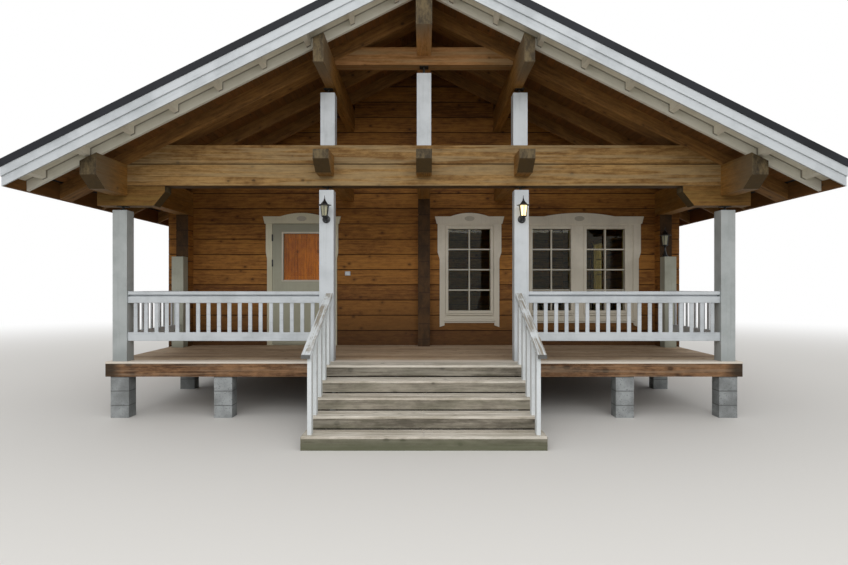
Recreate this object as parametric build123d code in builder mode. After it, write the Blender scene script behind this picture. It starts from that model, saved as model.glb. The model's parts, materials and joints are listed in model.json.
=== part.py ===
from build123d import *
from math import ceil
import os

# Log cabin with a gabled porch, in millimetres. X runs to the right and Y to the back.
# The origin is on the ground, in the middle of the building's length and width.

# Stairs
RISER = 150
RISER_COUNT = 5
GOING = 300
TOP_NOSE = 400
TREAD_HALF = 1250
BOTTOM_TREAD_EXTRA = 60
TREAD_THICK = 28
TREAD_DEPTH = 320
RISER_THICK = 25
RISER_GAP = 16
NOSING = 6
STRINGER_THICK = 45
STRINGER_FOOT = 450

# Deck and foundation
DECK_TOP = RISER * RISER_COUNT
DECK_BOARD = 28
DECK_LIP = 12
RIM_HEIGHT = 172
RIM_THICK = 50
RIM_AHEAD = 20
DECK_PAST_POST = 85
JOIST_THICK = 50
JOIST_BAYS = 8
PIER_WIDE = 240
PIER_DEEP = 200
PIER_HOUSE_ROWS = 4
FLOOR_STEP = 10
FLOOR_TOP = DECK_TOP + FLOOR_STEP
FLOOR_THICK = 200

# Log walls
COURSE = 260
WALL = 200
SIDE_OUT = 4140
LOG_END = 220
SILL_DROP = 270
SEAM_WIDE = 20
SEAM_DEEP = 10
WALL_COURSE_COUNT = 9
PLATE_COURSE = 10
PORCH_DEPTH = 2260
HOUSE_LENGTH = 6900

# Roof
SLOPE = 0.5
PLATE_HIGH = 306
EAVE_OVERHANG = 720
FRONT_OVERHANG = 1080
BACK_OVERHANG = 800
RAFTER_DEEP = 190
RAFTER_THICK = 50
MAIN_RAFTER_THICK = 280
PORCH_RAFTERS_AHEAD = (1210, 405)
ROOM_RAFTER_COUNT = 7
REAR_RAFTER_BACK = 120
ROOF_BOARD = 25
COVERING = 90
COVERING_LIP = 15
FASCIA_THICK = 22
BARGE_THICK = 22
BARGE_LOWER = 125
BARGE_UPPER_FROM = 110
VERGE_RAFTER_SETBACK = 425
VERGE_SOFFIT_UP = 120
VERGE_SOFFIT_THICK = 20
LOOKOUT_WIDE = 50
LOOKOUT_DEEP = 85
LOOKOUT_SPACING = 535
LOOKOUT_FIRST = 330
RIDGE_CAP_HALF = 160
RIDGE_CAP_THICK = 8

# Posts and porch beams
POST = 190
POST_PAST_TREAD = 46
CORNER_POST_HIGH = 2010
MIDDLE_POST_HIGH = 2277
LOW_POST_HIGH = 1490
BEAM_THICK = 200
TIE_LOWER_HIGH = 290
TIE_UPPER_HIGH = 250
TIE_PAST_WALL = 200
CORBEL_PAST_WALL = 500
CORBEL_BEVEL = 150
CORBEL_BEVEL_UP = 185
LOG_BEVEL_BACK = 200
LOG_BEVEL_UP = 140
BEAM_AHEAD = 450
PLATE_AHEAD = 750
COLLAR_UP = 300
COLLAR_HIGH = 230
COLLAR_CLEAR = 3
GABLE_POST_IN = 16
PURLIN_IN = 35
PURLIN_WIDE = 125
PURLIN_HIGH = 313.5
PURLIN_AHEAD = 900
RIDGE_WIDE = 190
RIDGE_HIGH = 516
RIDGE_AHEAD = 950
GABLE_POST_JACK = 70
CENTRE_POST_JACK = 110
JACK_RADIUS = 16
JACK_SIDES = 6
JACK_PLATE = 120
JACK_PLATE_THICK = 8

# Railings
RAIL_TOP = 930
RAIL_CAP_THICK = 45
RAIL_CAP_WIDE = 95
RAIL_THICK = 45
RAIL_SETBACK = 25
APRON_TOP = 862
APRON_HIGH = 86
BOTTOM_RAIL_TOP = 384
BOTTOM_RAIL_HIGH = 114
BALUSTER_WIDE = 50
BALUSTER_THICK = 20
BALUSTER_SPACING = 139
STAIR_RAIL_OUT = 10
STAIR_RAIL_WIDE = 95
STAIR_RAIL_THICK = 35
STAIR_RAIL_TOP = 906
STAIR_RAIL_REACH = 1585
STAIR_RAIL_DROP = 0.41
STAIR_UPRIGHT_THICK = 45
STAIR_UPRIGHT_WIDE = 95
STAIR_UPRIGHT_SETBACK = 66

# Windows and door
WINDOW_HEAD_DROP = 15
WINDOW_HIGH = 1597
GLASS_HEAD_DROP = 71
GLASS_HIGH = 1393
GLASS_THICK = 20
WINDOW_WIDE = 850
GLASS_WIDE = 717
WINDOW_X = 775
DOUBLE_X = 2642
DOUBLE_WIDE = 1868
DOUBLE_GLASS_WIDE = 655
DOUBLE_GLASS_OFFSET = 461
FRAME_DEEP = 150
GLASS_BACK = 90
CASING_THICK = 25
CASING_LAP = 10
CASING_WIDE = 118
CASING_FOOT_WIDE = 83
CASING_STEP_DROP = 486
CASING_STEP_RUN = 113
CASING_BELOW = 77
HEADER_THICK = 45
HEADER_UP = 6
HEADER_HIGH = 121
HEADER_LAP = 46
HEADER_SLANT = 31
HEADER_ARCH_RISE = 59
HEADER_ARCH_HALF = 0.55
DOOR_X = -2079
DOOR_WIDE = 998
DOOR_THICK = 60
DOOR_CLEAR = 6
DOOR_HEAD_DROP = 5
DOOR_PROUD = 6
JAMB = 50
JAMB_STOP = 24
THRESHOLD = 15
DOOR_STILE = 187
DOOR_TOP_RAIL = 163
DOOR_GLASS_HIGH = 789
DOOR_CASING_WIDE = 111
DOOR_CASING_FOOT_WIDE = 90
HINGE_RADIUS = 9
HINGE_LONG = 45
HINGE_GAP = 0.3
HINGE_DROP = 235
HINGE_SECOND_DROP = 666
HINGE_LIFT = 235
HINGE_STRAP = 30
HANDLE_UP = 1000
HANDLE_INSET = 70
HANDLE_REACH = 55
HANDLE_LONG = 125
HANDLE_RADIUS = 10
SIDE_WINDOW_BACK = 3450

# Lanterns
LANTERN_UP = 1886
LOW_LANTERN_UP = 1620
LOW_LANTERN_IN = 50
LANTERN_PEDESTAL = 42
LANTERN_REACH = 140
LANTERN_SIDES = 6
LANTERN_PLATE = 52
LANTERN_PLATE_THICK = 14
LANTERN_ARM = 18
LANTERN_CUP_DROP = 30
LANTERN_FOOT = 37
LANTERN_SHOULDER = 57
LANTERN_BRIM = 87
LANTERN_BRIM_THICK = 10
LANTERN_GLASS_LOW = 24
LANTERN_GLASS_HIGH = 166
LANTERN_ROOF_HIGH = 237
LANTERN_TIP_HIGH = 300
LANTERN_TIP = 8

# Places worked out from the sizes above
STAIR_REACH = TOP_NOSE + (RISER_COUNT - 1) * GOING
LENGTH = STAIR_REACH + PORCH_DEPTH + HOUSE_LENGTH + BACK_OVERHANG
POST_Y = STAIR_REACH - LENGTH / 2
WALL_Y = POST_Y + PORCH_DEPTH
BACK_WALL_Y = WALL_Y + HOUSE_LENGTH
BARGE_Y = POST_Y - FRONT_OVERHANG
ROOF_BACK_Y = LENGTH / 2
SIDE_IN = SIDE_OUT - WALL
SIDE_MID = SIDE_OUT - WALL / 2
LOG_END_Y = WALL_Y - LOG_END
CROSS_BASE = DECK_TOP - SILL_DROP
LONG_BASE = CROSS_BASE - COURSE / 2
PLATE_BOTTOM = LONG_BASE + PLATE_COURSE * COURSE
TIE_BOTTOM = CROSS_BASE + PLATE_COURSE * COURSE
TIE_SEAM = TIE_BOTTOM + TIE_LOWER_HIGH
TIE_TOP = TIE_SEAM + TIE_UPPER_HIGH
TIE_HALF = SIDE_OUT + TIE_PAST_WALL
CORBEL_IN = SIDE_IN - CORBEL_PAST_WALL
EAVE_X = SIDE_OUT + EAVE_OVERHANG
STAIR_RAIL_X = TREAD_HALF + STAIR_RAIL_OUT
MIDDLE_POST_X = TREAD_HALF + POST_PAST_TREAD
GABLE_POST_X = MIDDLE_POST_X - GABLE_POST_IN
PURLIN_X = GABLE_POST_X - PURLIN_IN
COLLAR_HALF = PURLIN_X - PURLIN_WIDE / 2 - COLLAR_CLEAR
GABLE_BOTTOM = CROSS_BASE + WALL_COURSE_COUNT * COURSE
DECK_HALF = SIDE_MID + POST / 2 + DECK_PAST_POST
DECK_UNDER = DECK_TOP - DECK_BOARD
RIM_BOTTOM = DECK_UNDER - RIM_HEIGHT
DECK_FRONT_Y = POST_Y - RIM_AHEAD
LOW_POST_Y = LOG_END_Y - POST / 2
ROOF_UP = RAFTER_DEEP + ROOF_BOARD
WINDOW_HEAD = GABLE_BOTTOM - WINDOW_HEAD_DROP
WINDOW_SILL = WINDOW_HEAD - WINDOW_HIGH
GLASS_BOTTOM = WINDOW_HEAD - GLASS_HEAD_DROP - GLASS_HIGH
DOOR_HEAD = GABLE_BOTTOM - DOOR_HEAD_DROP
DOOR_HALF = DOOR_WIDE / 2
DOOR_OPENING_HALF = DOOR_HALF + DOOR_CLEAR + JAMB
DOOR_OPENING_TOP = DOOR_HEAD + DOOR_CLEAR + JAMB
DOOR_GLASS_HALF = DOOR_HALF - DOOR_STILE
DOOR_GLASS_TOP = DOOR_HEAD - DOOR_TOP_RAIL
DOOR_GLASS_BOTTOM = DOOR_GLASS_TOP - DOOR_GLASS_HIGH
HEADER_BOTTOM = DOOR_HEAD + HEADER_UP

os.makedirs("parts", exist_ok=True)


def rafter_line(x):
    """Height of the rafters' undersides, which rest on the plate log's outer edge."""
    return PLATE_BOTTOM + PLATE_HIGH + SLOPE * (SIDE_OUT - abs(x))


# Heights that follow the slope: the purlins, the collar beam between them and the gable's logs
RIDGE_BOTTOM = rafter_line(0) - RIDGE_HIGH
PURLIN_BOTTOM = rafter_line(PURLIN_X) - PURLIN_HIGH
COLLAR_BOTTOM = PURLIN_BOTTOM + COLLAR_UP
GABLE_COURSE_COUNT = ceil((rafter_line(0) + RAFTER_DEEP - GABLE_BOTTOM) / COURSE)


def cross_seam(number):
    """Height of a seam between the logs that run across the building."""
    return CROSS_BASE + number * COURSE


def long_seam(number):
    """Height of a seam between the logs that run along it, half a course lower."""
    return LONG_BASE + number * COURSE


def across(y):
    """Upright plane across the building at depth y, seen from the front."""
    return Plane.XZ.offset(-y)


def along(x):
    """Upright plane along the building, x to the right of its middle."""
    return Plane.YZ.offset(x)


def keep(builder, name):
    """Label a finished piece and write its file."""
    builder.part.label = name
    export_step(builder.part, f"parts/{name}.step")


def block(low, high, mode=Mode.ADD):
    """Square-edged timber between two opposite corners."""
    with BuildSketch(Plane.XY.offset(low[2])) as plan:
        with Locations(((low[0] + high[0]) / 2, (low[1] + high[1]) / 2)):
            Rectangle(high[0] - low[0], high[1] - low[1])
    extrude(plan.sketch, amount=high[2] - low[2], mode=mode)


def panel(plane, points, thick, mode=Mode.ADD):
    """Board with the given outline on a plane, thick measured behind or beside it."""
    with BuildSketch(plane) as face:
        with BuildLine():
            Polyline(*points, close=True)
        make_face()
    extrude(face.sketch, amount=thick, mode=mode)


def log_stack(plane, outside, inward, bottom, courses, length):
    """Stacked logs with a V groove on the outside at every seam, pushed along their length."""
    inside = outside + inward * WALL
    half = SEAM_WIDE / 2
    outline = [(inside, bottom), (outside, bottom)]
    for number in range(1, courses):
        seam = bottom + number * COURSE
        outline += [(outside, seam - half), (outside + inward * SEAM_DEEP, seam), (outside, seam + half)]
    top = bottom + courses * COURSE
    panel(plane, outline + [(outside, top), (inside, top)], length)


def notches(plane, places, seams):
    """Room for the logs that cross: half a course, centred on each seam."""
    with BuildSketch(plane) as slots:
        with Locations(*[(place, seam) for place in places for seam in seams]):
            Rectangle(WALL, COURSE / 2)
    extrude(slots.sketch, amount=-WALL, mode=Mode.SUBTRACT)


def window_hole(plane, centre, width):
    """Opening through a log wall for one window."""
    with BuildSketch(plane) as hole:
        with Locations((centre, (WINDOW_SILL + WINDOW_HEAD) / 2)):
            Rectangle(width, WINDOW_HEAD - WINDOW_SILL)
    extrude(hole.sketch, amount=-WALL, mode=Mode.SUBTRACT)


def under_roof(near_y, depth, up=0):
    """Trim beams or logs to the slope of the rafters, or so far above their undersides."""
    outline = [
        (-EAVE_X, 0),
        (EAVE_X, 0),
        (EAVE_X, rafter_line(EAVE_X) + up),
        (0, rafter_line(0) + up),
        (-EAVE_X, rafter_line(EAVE_X) + up),
    ]
    panel(across(near_y), outline, -depth, mode=Mode.INTERSECT)


def roof_slab(side, under, thick, near_y, far_y, eave):
    """Sloping layer from the ridge to the eave on one side."""
    points = [
        (0, rafter_line(0) + under),
        (side * eave, rafter_line(eave) + under),
        (side * eave, rafter_line(eave) + under + thick),
        (0, rafter_line(0) + under + thick),
    ]
    panel(across(near_y), points, near_y - far_y)


# Concrete block piers under the porch's posts and bays and under the side walls
porch_piers = (MIDDLE_POST_X, (MIDDLE_POST_X + SIDE_MID) / 2, SIDE_MID)
house_pier_gap = (HOUSE_LENGTH - PIER_DEEP) / (PIER_HOUSE_ROWS - 1)
with BuildPart() as foundation_piers:
    with BuildSketch() as porch_plan:
        with Locations(*[(side * x, POST_Y + PIER_DEEP / 2) for side in (-1, 1) for x in porch_piers]):
            Rectangle(PIER_WIDE, PIER_DEEP)
    extrude(porch_plan.sketch, amount=RIM_BOTTOM)
    with BuildSketch() as house_plan:
        with Locations(*[(side * SIDE_MID, WALL_Y + PIER_DEEP / 2 + row * house_pier_gap)
                         for side in (-1, 1) for row in range(PIER_HOUSE_ROWS)]):
            Rectangle(PIER_WIDE, PIER_DEEP)
    extrude(house_plan.sketch, amount=LONG_BASE)
keep(foundation_piers, "foundation_piers")

# Rim beam along the front of the deck
with BuildPart() as rim_beam:
    block((-DECK_HALF, DECK_FRONT_Y, RIM_BOTTOM), (DECK_HALF, DECK_FRONT_Y + RIM_THICK, DECK_UNDER))
keep(rim_beam, "rim_beam")

# Joists and side beams of the deck, from the rim beam back to the log wall
joist_gap = (2 * DECK_HALF - JOIST_THICK) / JOIST_BAYS
with BuildPart() as deck_joists:
    for number in range(JOIST_BAYS + 1):
        near_x = number * joist_gap - DECK_HALF
        block((near_x, DECK_FRONT_Y + RIM_THICK, RIM_BOTTOM), (near_x + JOIST_THICK, WALL_Y, DECK_UNDER))
keep(deck_joists, "deck_joists")

# Deck boards, cut round the ends of the side walls' logs
with BuildPart() as deck_boards:
    with BuildSketch(Plane.XY.offset(DECK_UNDER)) as plan:
        with Locations((0, (DECK_FRONT_Y - DECK_LIP + WALL_Y) / 2)):
            Rectangle(2 * DECK_HALF, WALL_Y - DECK_FRONT_Y + DECK_LIP)
        with Locations((-SIDE_MID, WALL_Y), (SIDE_MID, WALL_Y)):
            Rectangle(WALL, 2 * LOG_END, mode=Mode.SUBTRACT)
    extrude(plan.sketch, amount=DECK_BOARD)
keep(deck_boards, "deck_boards")

# Floor of the room, between the four walls
with BuildPart() as house_floor:
    block((-SIDE_IN, WALL_Y + WALL, FLOOR_TOP - FLOOR_THICK), (SIDE_IN, BACK_WALL_Y - WALL, FLOOR_TOP))
keep(house_floor, "house_floor")

# Front wall, split beside and over the door
wall_half = SIDE_OUT + LOG_END
crossing_seams = [cross_seam(number) for number in range(PLATE_COURSE + 1)]
door_left = DOOR_X - DOOR_OPENING_HALF
door_right = DOOR_X + DOOR_OPENING_HALF
with BuildPart() as front_wall_left:
    log_stack(along(-wall_half), WALL_Y, 1, CROSS_BASE, WALL_COURSE_COUNT, door_left + wall_half)
    notches(across(WALL_Y), [-SIDE_MID], crossing_seams)
keep(front_wall_left, "front_wall_left")

with BuildPart() as front_wall_right:
    log_stack(along(door_right), WALL_Y, 1, CROSS_BASE, WALL_COURSE_COUNT, wall_half - door_right)
    notches(across(WALL_Y), [0, SIDE_MID], crossing_seams)
    window_hole(across(WALL_Y), WINDOW_X, WINDOW_WIDE)
    window_hole(across(WALL_Y), DOUBLE_X, DOUBLE_WIDE)
keep(front_wall_right, "front_wall_right")

with BuildPart() as door_sill:
    block((door_left, WALL_Y, CROSS_BASE), (door_right, WALL_Y + WALL, DECK_TOP))
keep(door_sill, "door_sill")


def gable(outside_y, inward, bottom, courses):
    """Log gable from a seam up to the roof boards, notched for the purlins."""
    near_y = min(outside_y, outside_y + inward * WALL)
    log_stack(along(-wall_half), outside_y, inward, bottom, courses, 2 * wall_half)
    under_roof(near_y, WALL, RAFTER_DEEP)
    with BuildSketch(across(near_y)) as beams:
        with Locations((-PURLIN_X, PURLIN_BOTTOM), (PURLIN_X, PURLIN_BOTTOM)):
            Rectangle(PURLIN_WIDE, GABLE_COURSE_COUNT * COURSE, align=(Align.CENTER, Align.MIN))
        with Locations((0, RIDGE_BOTTOM)):
            Rectangle(RIDGE_WIDE, GABLE_COURSE_COUNT * COURSE, align=(Align.CENTER, Align.MIN))
    extrude(beams.sketch, amount=-WALL, mode=Mode.SUBTRACT)


ties_x = (-MIDDLE_POST_X, 0, MIDDLE_POST_X)
with BuildPart() as front_gable:
    gable(WALL_Y, 1, GABLE_BOTTOM, GABLE_COURSE_COUNT)
    notches(across(WALL_Y), [-SIDE_MID, 0, SIDE_MID], crossing_seams)
    block((door_left, WALL_Y, GABLE_BOTTOM), (door_right, WALL_Y + WALL, DOOR_OPENING_TOP), mode=Mode.SUBTRACT)
    with BuildSketch(across(WALL_Y)) as ties:
        with Locations(*[(x, cross_seam(PLATE_COURSE + 1)) for x in ties_x]):
            Rectangle(BEAM_THICK, COURSE / 2)
    extrude(ties.sketch, amount=-WALL, mode=Mode.SUBTRACT)
keep(front_gable, "front_gable")

# Back wall with the same log courses and one window
back_y = BACK_WALL_Y - WALL
with BuildPart() as back_wall:
    gable(BACK_WALL_Y, -1, CROSS_BASE, WALL_COURSE_COUNT + GABLE_COURSE_COUNT)
    notches(across(back_y), [-SIDE_MID, SIDE_MID], crossing_seams)
    window_hole(across(back_y), 0, WINDOW_WIDE)
keep(back_wall, "back_wall")

# Side walls, whose logs cross the front and back logs half a course out
side_seams = [long_seam(number) for number in range(1, PLATE_COURSE + 2)]
side_window_y = WALL_Y + SIDE_WINDOW_BACK
for side, name in ((-1, "side_wall_left"), (1, "side_wall_right")):
    near_x = min(side * SIDE_IN, side * SIDE_OUT)
    with BuildPart() as side_wall:
        log_stack(across(LOG_END_Y), side * SIDE_OUT, -side, LONG_BASE, PLATE_COURSE,
                  -(HOUSE_LENGTH + 2 * LOG_END))
        notches(along(near_x + WALL), [WALL_Y + WALL / 2, BACK_WALL_Y - WALL / 2], side_seams)
        window_hole(along(near_x + WALL), side_window_y, WINDOW_WIDE)
    keep(side_wall, name)

# Crossing log ends that stand out of the front wall between the door and the window
with BuildPart() as middle_log_ends:
    log_stack(across(LOG_END_Y), -WALL / 2, 1, LONG_BASE + COURSE, PLATE_COURSE, -(WALL + LOG_END))
    block((-WALL, LOG_END_Y, LONG_BASE), (WALL, WALL_Y + WALL, DECK_TOP), mode=Mode.SUBTRACT)
    notches(along(WALL / 2), [WALL_Y + WALL / 2], side_seams)
keep(middle_log_ends, "middle_log_ends")


def bevelled_end(near_x, width, front_y, bottom):
    """Cut back the lower half of a log's front end."""
    points = [
        (front_y, bottom),
        (front_y + LOG_BEVEL_BACK, bottom),
        (front_y, bottom + LOG_BEVEL_UP),
    ]
    panel(along(near_x), points, width, mode=Mode.SUBTRACT)


# Plate logs on the side walls, running out over the porch under the eaves
plate_front = POST_Y - PLATE_AHEAD
plate_back = ROOF_BACK_Y - VERGE_RAFTER_SETBACK
with BuildPart() as plate_logs:
    for side in (-1, 1):
        outline = [
            (side * SIDE_IN, PLATE_BOTTOM),
            (side * SIDE_OUT, PLATE_BOTTOM),
            (side * SIDE_OUT, rafter_line(SIDE_OUT)),
            (side * SIDE_IN, rafter_line(SIDE_IN)),
        ]
        panel(across(plate_front), outline, plate_front - plate_back)
        bevelled_end(-SIDE_OUT if side < 0 else SIDE_IN, WALL, plate_front, PLATE_BOTTOM)
    for near_y in (POST_Y, WALL_Y, back_y):
        block((-EAVE_X, near_y, LONG_BASE), (EAVE_X, near_y + WALL, TIE_BOTTOM - COURSE / 4),
              mode=Mode.SUBTRACT)
        block((-EAVE_X, near_y, TIE_BOTTOM + COURSE / 4), (EAVE_X, near_y + WALL, RIDGE_BOTTOM),
              mode=Mode.SUBTRACT)
keep(plate_logs, "plate_logs")

# Tie beam of two logs across the front of the porch, with a V groove between them
cross_tie_seam = cross_seam(PLATE_COURSE + 1)


def tie_groove():
    """Ease the front edges of both logs where they meet."""
    points = [
        (POST_Y, TIE_SEAM - SEAM_WIDE / 2),
        (POST_Y + SEAM_DEEP, TIE_SEAM),
        (POST_Y, TIE_SEAM + SEAM_WIDE / 2),
    ]
    panel(along(-TIE_HALF), points, 2 * TIE_HALF, mode=Mode.SUBTRACT)


with BuildPart() as tie_beam_lower:
    block((-TIE_HALF, POST_Y, TIE_BOTTOM), (TIE_HALF, POST_Y + BEAM_THICK, TIE_SEAM))
    tie_groove()
    under_roof(POST_Y, BEAM_THICK)
    with BuildSketch(across(POST_Y)) as slots:
        with Locations(*[(x, cross_tie_seam) for x in ties_x]):
            Rectangle(BEAM_THICK, COURSE / 2)
        with Locations((-SIDE_MID, TIE_BOTTOM), (SIDE_MID, TIE_BOTTOM)):
            Rectangle(WALL, COURSE / 2)
    extrude(slots.sketch, amount=-BEAM_THICK, mode=Mode.SUBTRACT)
keep(tie_beam_lower, "tie_beam_lower")

with BuildPart() as tie_beam_upper:
    block((-TIE_HALF, POST_Y, TIE_SEAM), (TIE_HALF, POST_Y + BEAM_THICK, TIE_TOP))
    tie_groove()
    under_roof(POST_Y, BEAM_THICK)
    with BuildSketch(across(POST_Y)) as slots:
        with Locations(*[(x, cross_tie_seam) for x in ties_x]):
            Rectangle(BEAM_THICK, COURSE / 2)
    extrude(slots.sketch, amount=-BEAM_THICK, mode=Mode.SUBTRACT)
keep(tie_beam_upper, "tie_beam_upper")

# Logs along the porch, from the log wall out through the tie beam
with BuildPart() as porch_ties:
    low = long_seam(PLATE_COURSE + 1)
    for x in ties_x:
        block((x - BEAM_THICK / 2, POST_Y - BEAM_AHEAD, low),
              (x + BEAM_THICK / 2, WALL_Y + WALL, low + COURSE))
        bevelled_end(x - BEAM_THICK / 2, BEAM_THICK, POST_Y - BEAM_AHEAD, low)
    with BuildSketch(along(-EAVE_X)) as slots:
        crossings = (POST_Y + BEAM_THICK / 2, WALL_Y + WALL / 2)
        with Locations(*[(y, seam) for y in crossings for seam in (low, low + COURSE)]):
            Rectangle(BEAM_THICK, COURSE / 2)
    extrude(slots.sketch, amount=2 * EAVE_X, mode=Mode.SUBTRACT)
keep(porch_ties, "porch_ties")

# Corbel logs under the ends of the tie beam
corbel_bottom = TIE_BOTTOM - COURSE
with BuildPart() as corbels:
    for side in (-1, 1):
        outline = [
            (side * (CORBEL_IN + CORBEL_BEVEL), corbel_bottom),
            (side * TIE_HALF, corbel_bottom),
            (side * TIE_HALF, TIE_BOTTOM),
            (side * CORBEL_IN, TIE_BOTTOM),
            (side * CORBEL_IN, corbel_bottom + CORBEL_BEVEL_UP),
        ]
        panel(across(POST_Y), outline, -BEAM_THICK)
    with BuildSketch(across(POST_Y)) as slots:
        with Locations((-SIDE_MID, TIE_BOTTOM), (SIDE_MID, TIE_BOTTOM)):
            Rectangle(WALL, COURSE / 2)
    extrude(slots.sketch, amount=-BEAM_THICK, mode=Mode.SUBTRACT)
keep(corbels, "corbels")

# Collar beam high in the gable, notched for the ridge purlin
with BuildPart() as collar_beam:
    block((-COLLAR_HALF, POST_Y, COLLAR_BOTTOM),
          (COLLAR_HALF, POST_Y + BEAM_THICK, COLLAR_BOTTOM + COLLAR_HIGH))
    block((-RIDGE_WIDE / 2, POST_Y, RIDGE_BOTTOM),
          (RIDGE_WIDE / 2, POST_Y + BEAM_THICK, COLLAR_BOTTOM + COLLAR_HIGH), mode=Mode.SUBTRACT)
    under_roof(POST_Y, BEAM_THICK)
keep(collar_beam, "collar_beam")

# Ridge purlin under the rafters' meeting line
with BuildPart() as ridge_purlin:
    outline = [
        (-RIDGE_WIDE / 2, RIDGE_BOTTOM),
        (RIDGE_WIDE / 2, RIDGE_BOTTOM),
        (RIDGE_WIDE / 2, rafter_line(RIDGE_WIDE / 2)),
        (0, rafter_line(0)),
        (-RIDGE_WIDE / 2, rafter_line(RIDGE_WIDE / 2)),
    ]
    ridge_front = POST_Y - RIDGE_AHEAD
    panel(across(ridge_front), outline, ridge_front - plate_back)
keep(ridge_purlin, "ridge_purlin")

# Purlins half way up each slope
purlin_front = POST_Y - PURLIN_AHEAD
purlin_in = PURLIN_X - PURLIN_WIDE / 2
purlin_out = PURLIN_X + PURLIN_WIDE / 2
with BuildPart() as slope_purlins:
    for side in (-1, 1):
        outline = [
            (side * purlin_in, PURLIN_BOTTOM),
            (side * purlin_out, PURLIN_BOTTOM),
            (side * purlin_out, rafter_line(purlin_out)),
            (side * purlin_in, rafter_line(purlin_in)),
        ]
        panel(across(purlin_front), outline, purlin_front - plate_back)
keep(slope_purlins, "slope_purlins")

# Rafters: a heavy pair over the tie beam, then light pairs back to the rear verge
rafter_end = EAVE_X - FASCIA_THICK
light_rafters = [WALL_Y - ahead for ahead in PORCH_RAFTERS_AHEAD]
room_long = HOUSE_LENGTH - 2 * WALL
light_rafters += [WALL_Y + WALL + room_long * (number + 0.5) / ROOM_RAFTER_COUNT
                  for number in range(ROOM_RAFTER_COUNT)]
light_rafters += [BACK_WALL_Y + REAR_RAFTER_BACK]
for side, name in ((-1, "rafters_left"), (1, "rafters_right")):
    with BuildPart() as rafters:
        roof_slab(side, 0, RAFTER_DEEP, POST_Y, POST_Y + MAIN_RAFTER_THICK, rafter_end)
        for y in light_rafters:
            roof_slab(side, 0, RAFTER_DEEP, y, y + RAFTER_THICK, rafter_end)
    keep(rafters, name)

# White verge rafters near both gable edges
verge_fronts = (BARGE_Y + VERGE_RAFTER_SETBACK, ROOF_BACK_Y - VERGE_RAFTER_SETBACK)
for side, name in ((-1, "verge_rafters_left"), (1, "verge_rafters_right")):
    with BuildPart() as verge_rafters:
        for y in verge_fronts:
            roof_slab(side, 0, RAFTER_DEEP, y, y + RAFTER_THICK, rafter_end)
    keep(verge_rafters, name)

# Roof boards, and the dark covering that lies over them and over the barge boards
board_front = BARGE_Y + 2 * BARGE_THICK
board_back = ROOF_BACK_Y - 2 * BARGE_THICK
cover_front = BARGE_Y - COVERING_LIP
for side, name in ((-1, "roof_boards_left"), (1, "roof_boards_right")):
    with BuildPart() as roof_boards:
        roof_slab(side, RAFTER_DEEP, ROOF_BOARD, board_front, board_back, rafter_end)
    keep(roof_boards, name)

for side, name in ((-1, "roof_covering_left"), (1, "roof_covering_right")):
    with BuildPart() as roof_covering:
        roof_slab(side, ROOF_UP, COVERING, cover_front, ROOF_BACK_Y, EAVE_X)
    keep(roof_covering, name)

# Eave fascias
with BuildPart() as eave_fascias:
    for side in (-1, 1):
        points = [
            (side * rafter_end, rafter_line(rafter_end)),
            (side * EAVE_X, rafter_line(EAVE_X)),
            (side * EAVE_X, rafter_line(EAVE_X) + ROOF_UP),
            (side * rafter_end, rafter_line(rafter_end) + ROOF_UP),
        ]
        panel(across(board_front), points, board_front - board_back)
keep(eave_fascias, "eave_fascias")

# Corner posts, middle posts and low posts by the log wall, all standing on the deck
post_places = (
    ("corner_posts", SIDE_MID, POST_Y + POST / 2, CORNER_POST_HIGH),
    ("middle_posts", MIDDLE_POST_X, POST_Y + POST / 2, MIDDLE_POST_HIGH),
    ("low_wall_posts", SIDE_MID, LOW_POST_Y, LOW_POST_HIGH),
)
for name, x, y, high in post_places:
    with BuildPart() as posts:
        with BuildSketch(Plane.XY.offset(DECK_TOP)) as plan:
            with Locations((-x, y), (x, y)):
                Rectangle(POST, POST)
        extrude(plan.sketch, amount=high)
    keep(posts, name)

# Short posts on the tie beam that carry the purlins and the collar beam
with BuildPart() as gable_posts:
    for x, top in ((-GABLE_POST_X, PURLIN_BOTTOM - GABLE_POST_JACK),
                   (GABLE_POST_X, PURLIN_BOTTOM - GABLE_POST_JACK),
                   (0, COLLAR_BOTTOM - CENTRE_POST_JACK)):
        block((x - POST / 2, POST_Y, TIE_TOP), (x + POST / 2, POST_Y + POST, top))
keep(gable_posts, "gable_posts")

# Levelling screws between the posts and the beams they carry
jack_places = (
    (-SIDE_MID, DECK_TOP + CORNER_POST_HIGH, corbel_bottom),
    (SIDE_MID, DECK_TOP + CORNER_POST_HIGH, corbel_bottom),
    (-MIDDLE_POST_X, DECK_TOP + MIDDLE_POST_HIGH, TIE_BOTTOM),
    (MIDDLE_POST_X, DECK_TOP + MIDDLE_POST_HIGH, TIE_BOTTOM),
    (-GABLE_POST_X, PURLIN_BOTTOM - GABLE_POST_JACK, PURLIN_BOTTOM),
    (GABLE_POST_X, PURLIN_BOTTOM - GABLE_POST_JACK, PURLIN_BOTTOM),
    (0, COLLAR_BOTTOM - CENTRE_POST_JACK, COLLAR_BOTTOM),
)
with BuildPart() as post_jacks:
    for x, low, high in jack_places:
        y = POST_Y + POST / 2
        half = JACK_PLATE / 2
        block((x - half, y - half, low), (x + half, y + half, low + JACK_PLATE_THICK))
        block((x - half, y - half, high - JACK_PLATE_THICK), (x + half, y + half, high))
        with BuildSketch(Plane.XY.offset(low)) as rod:
            with Locations((x, y)):
                RegularPolygon(JACK_RADIUS, JACK_SIDES)
        extrude(rod.sketch, amount=high - low)
keep(post_jacks, "post_jacks")

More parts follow.
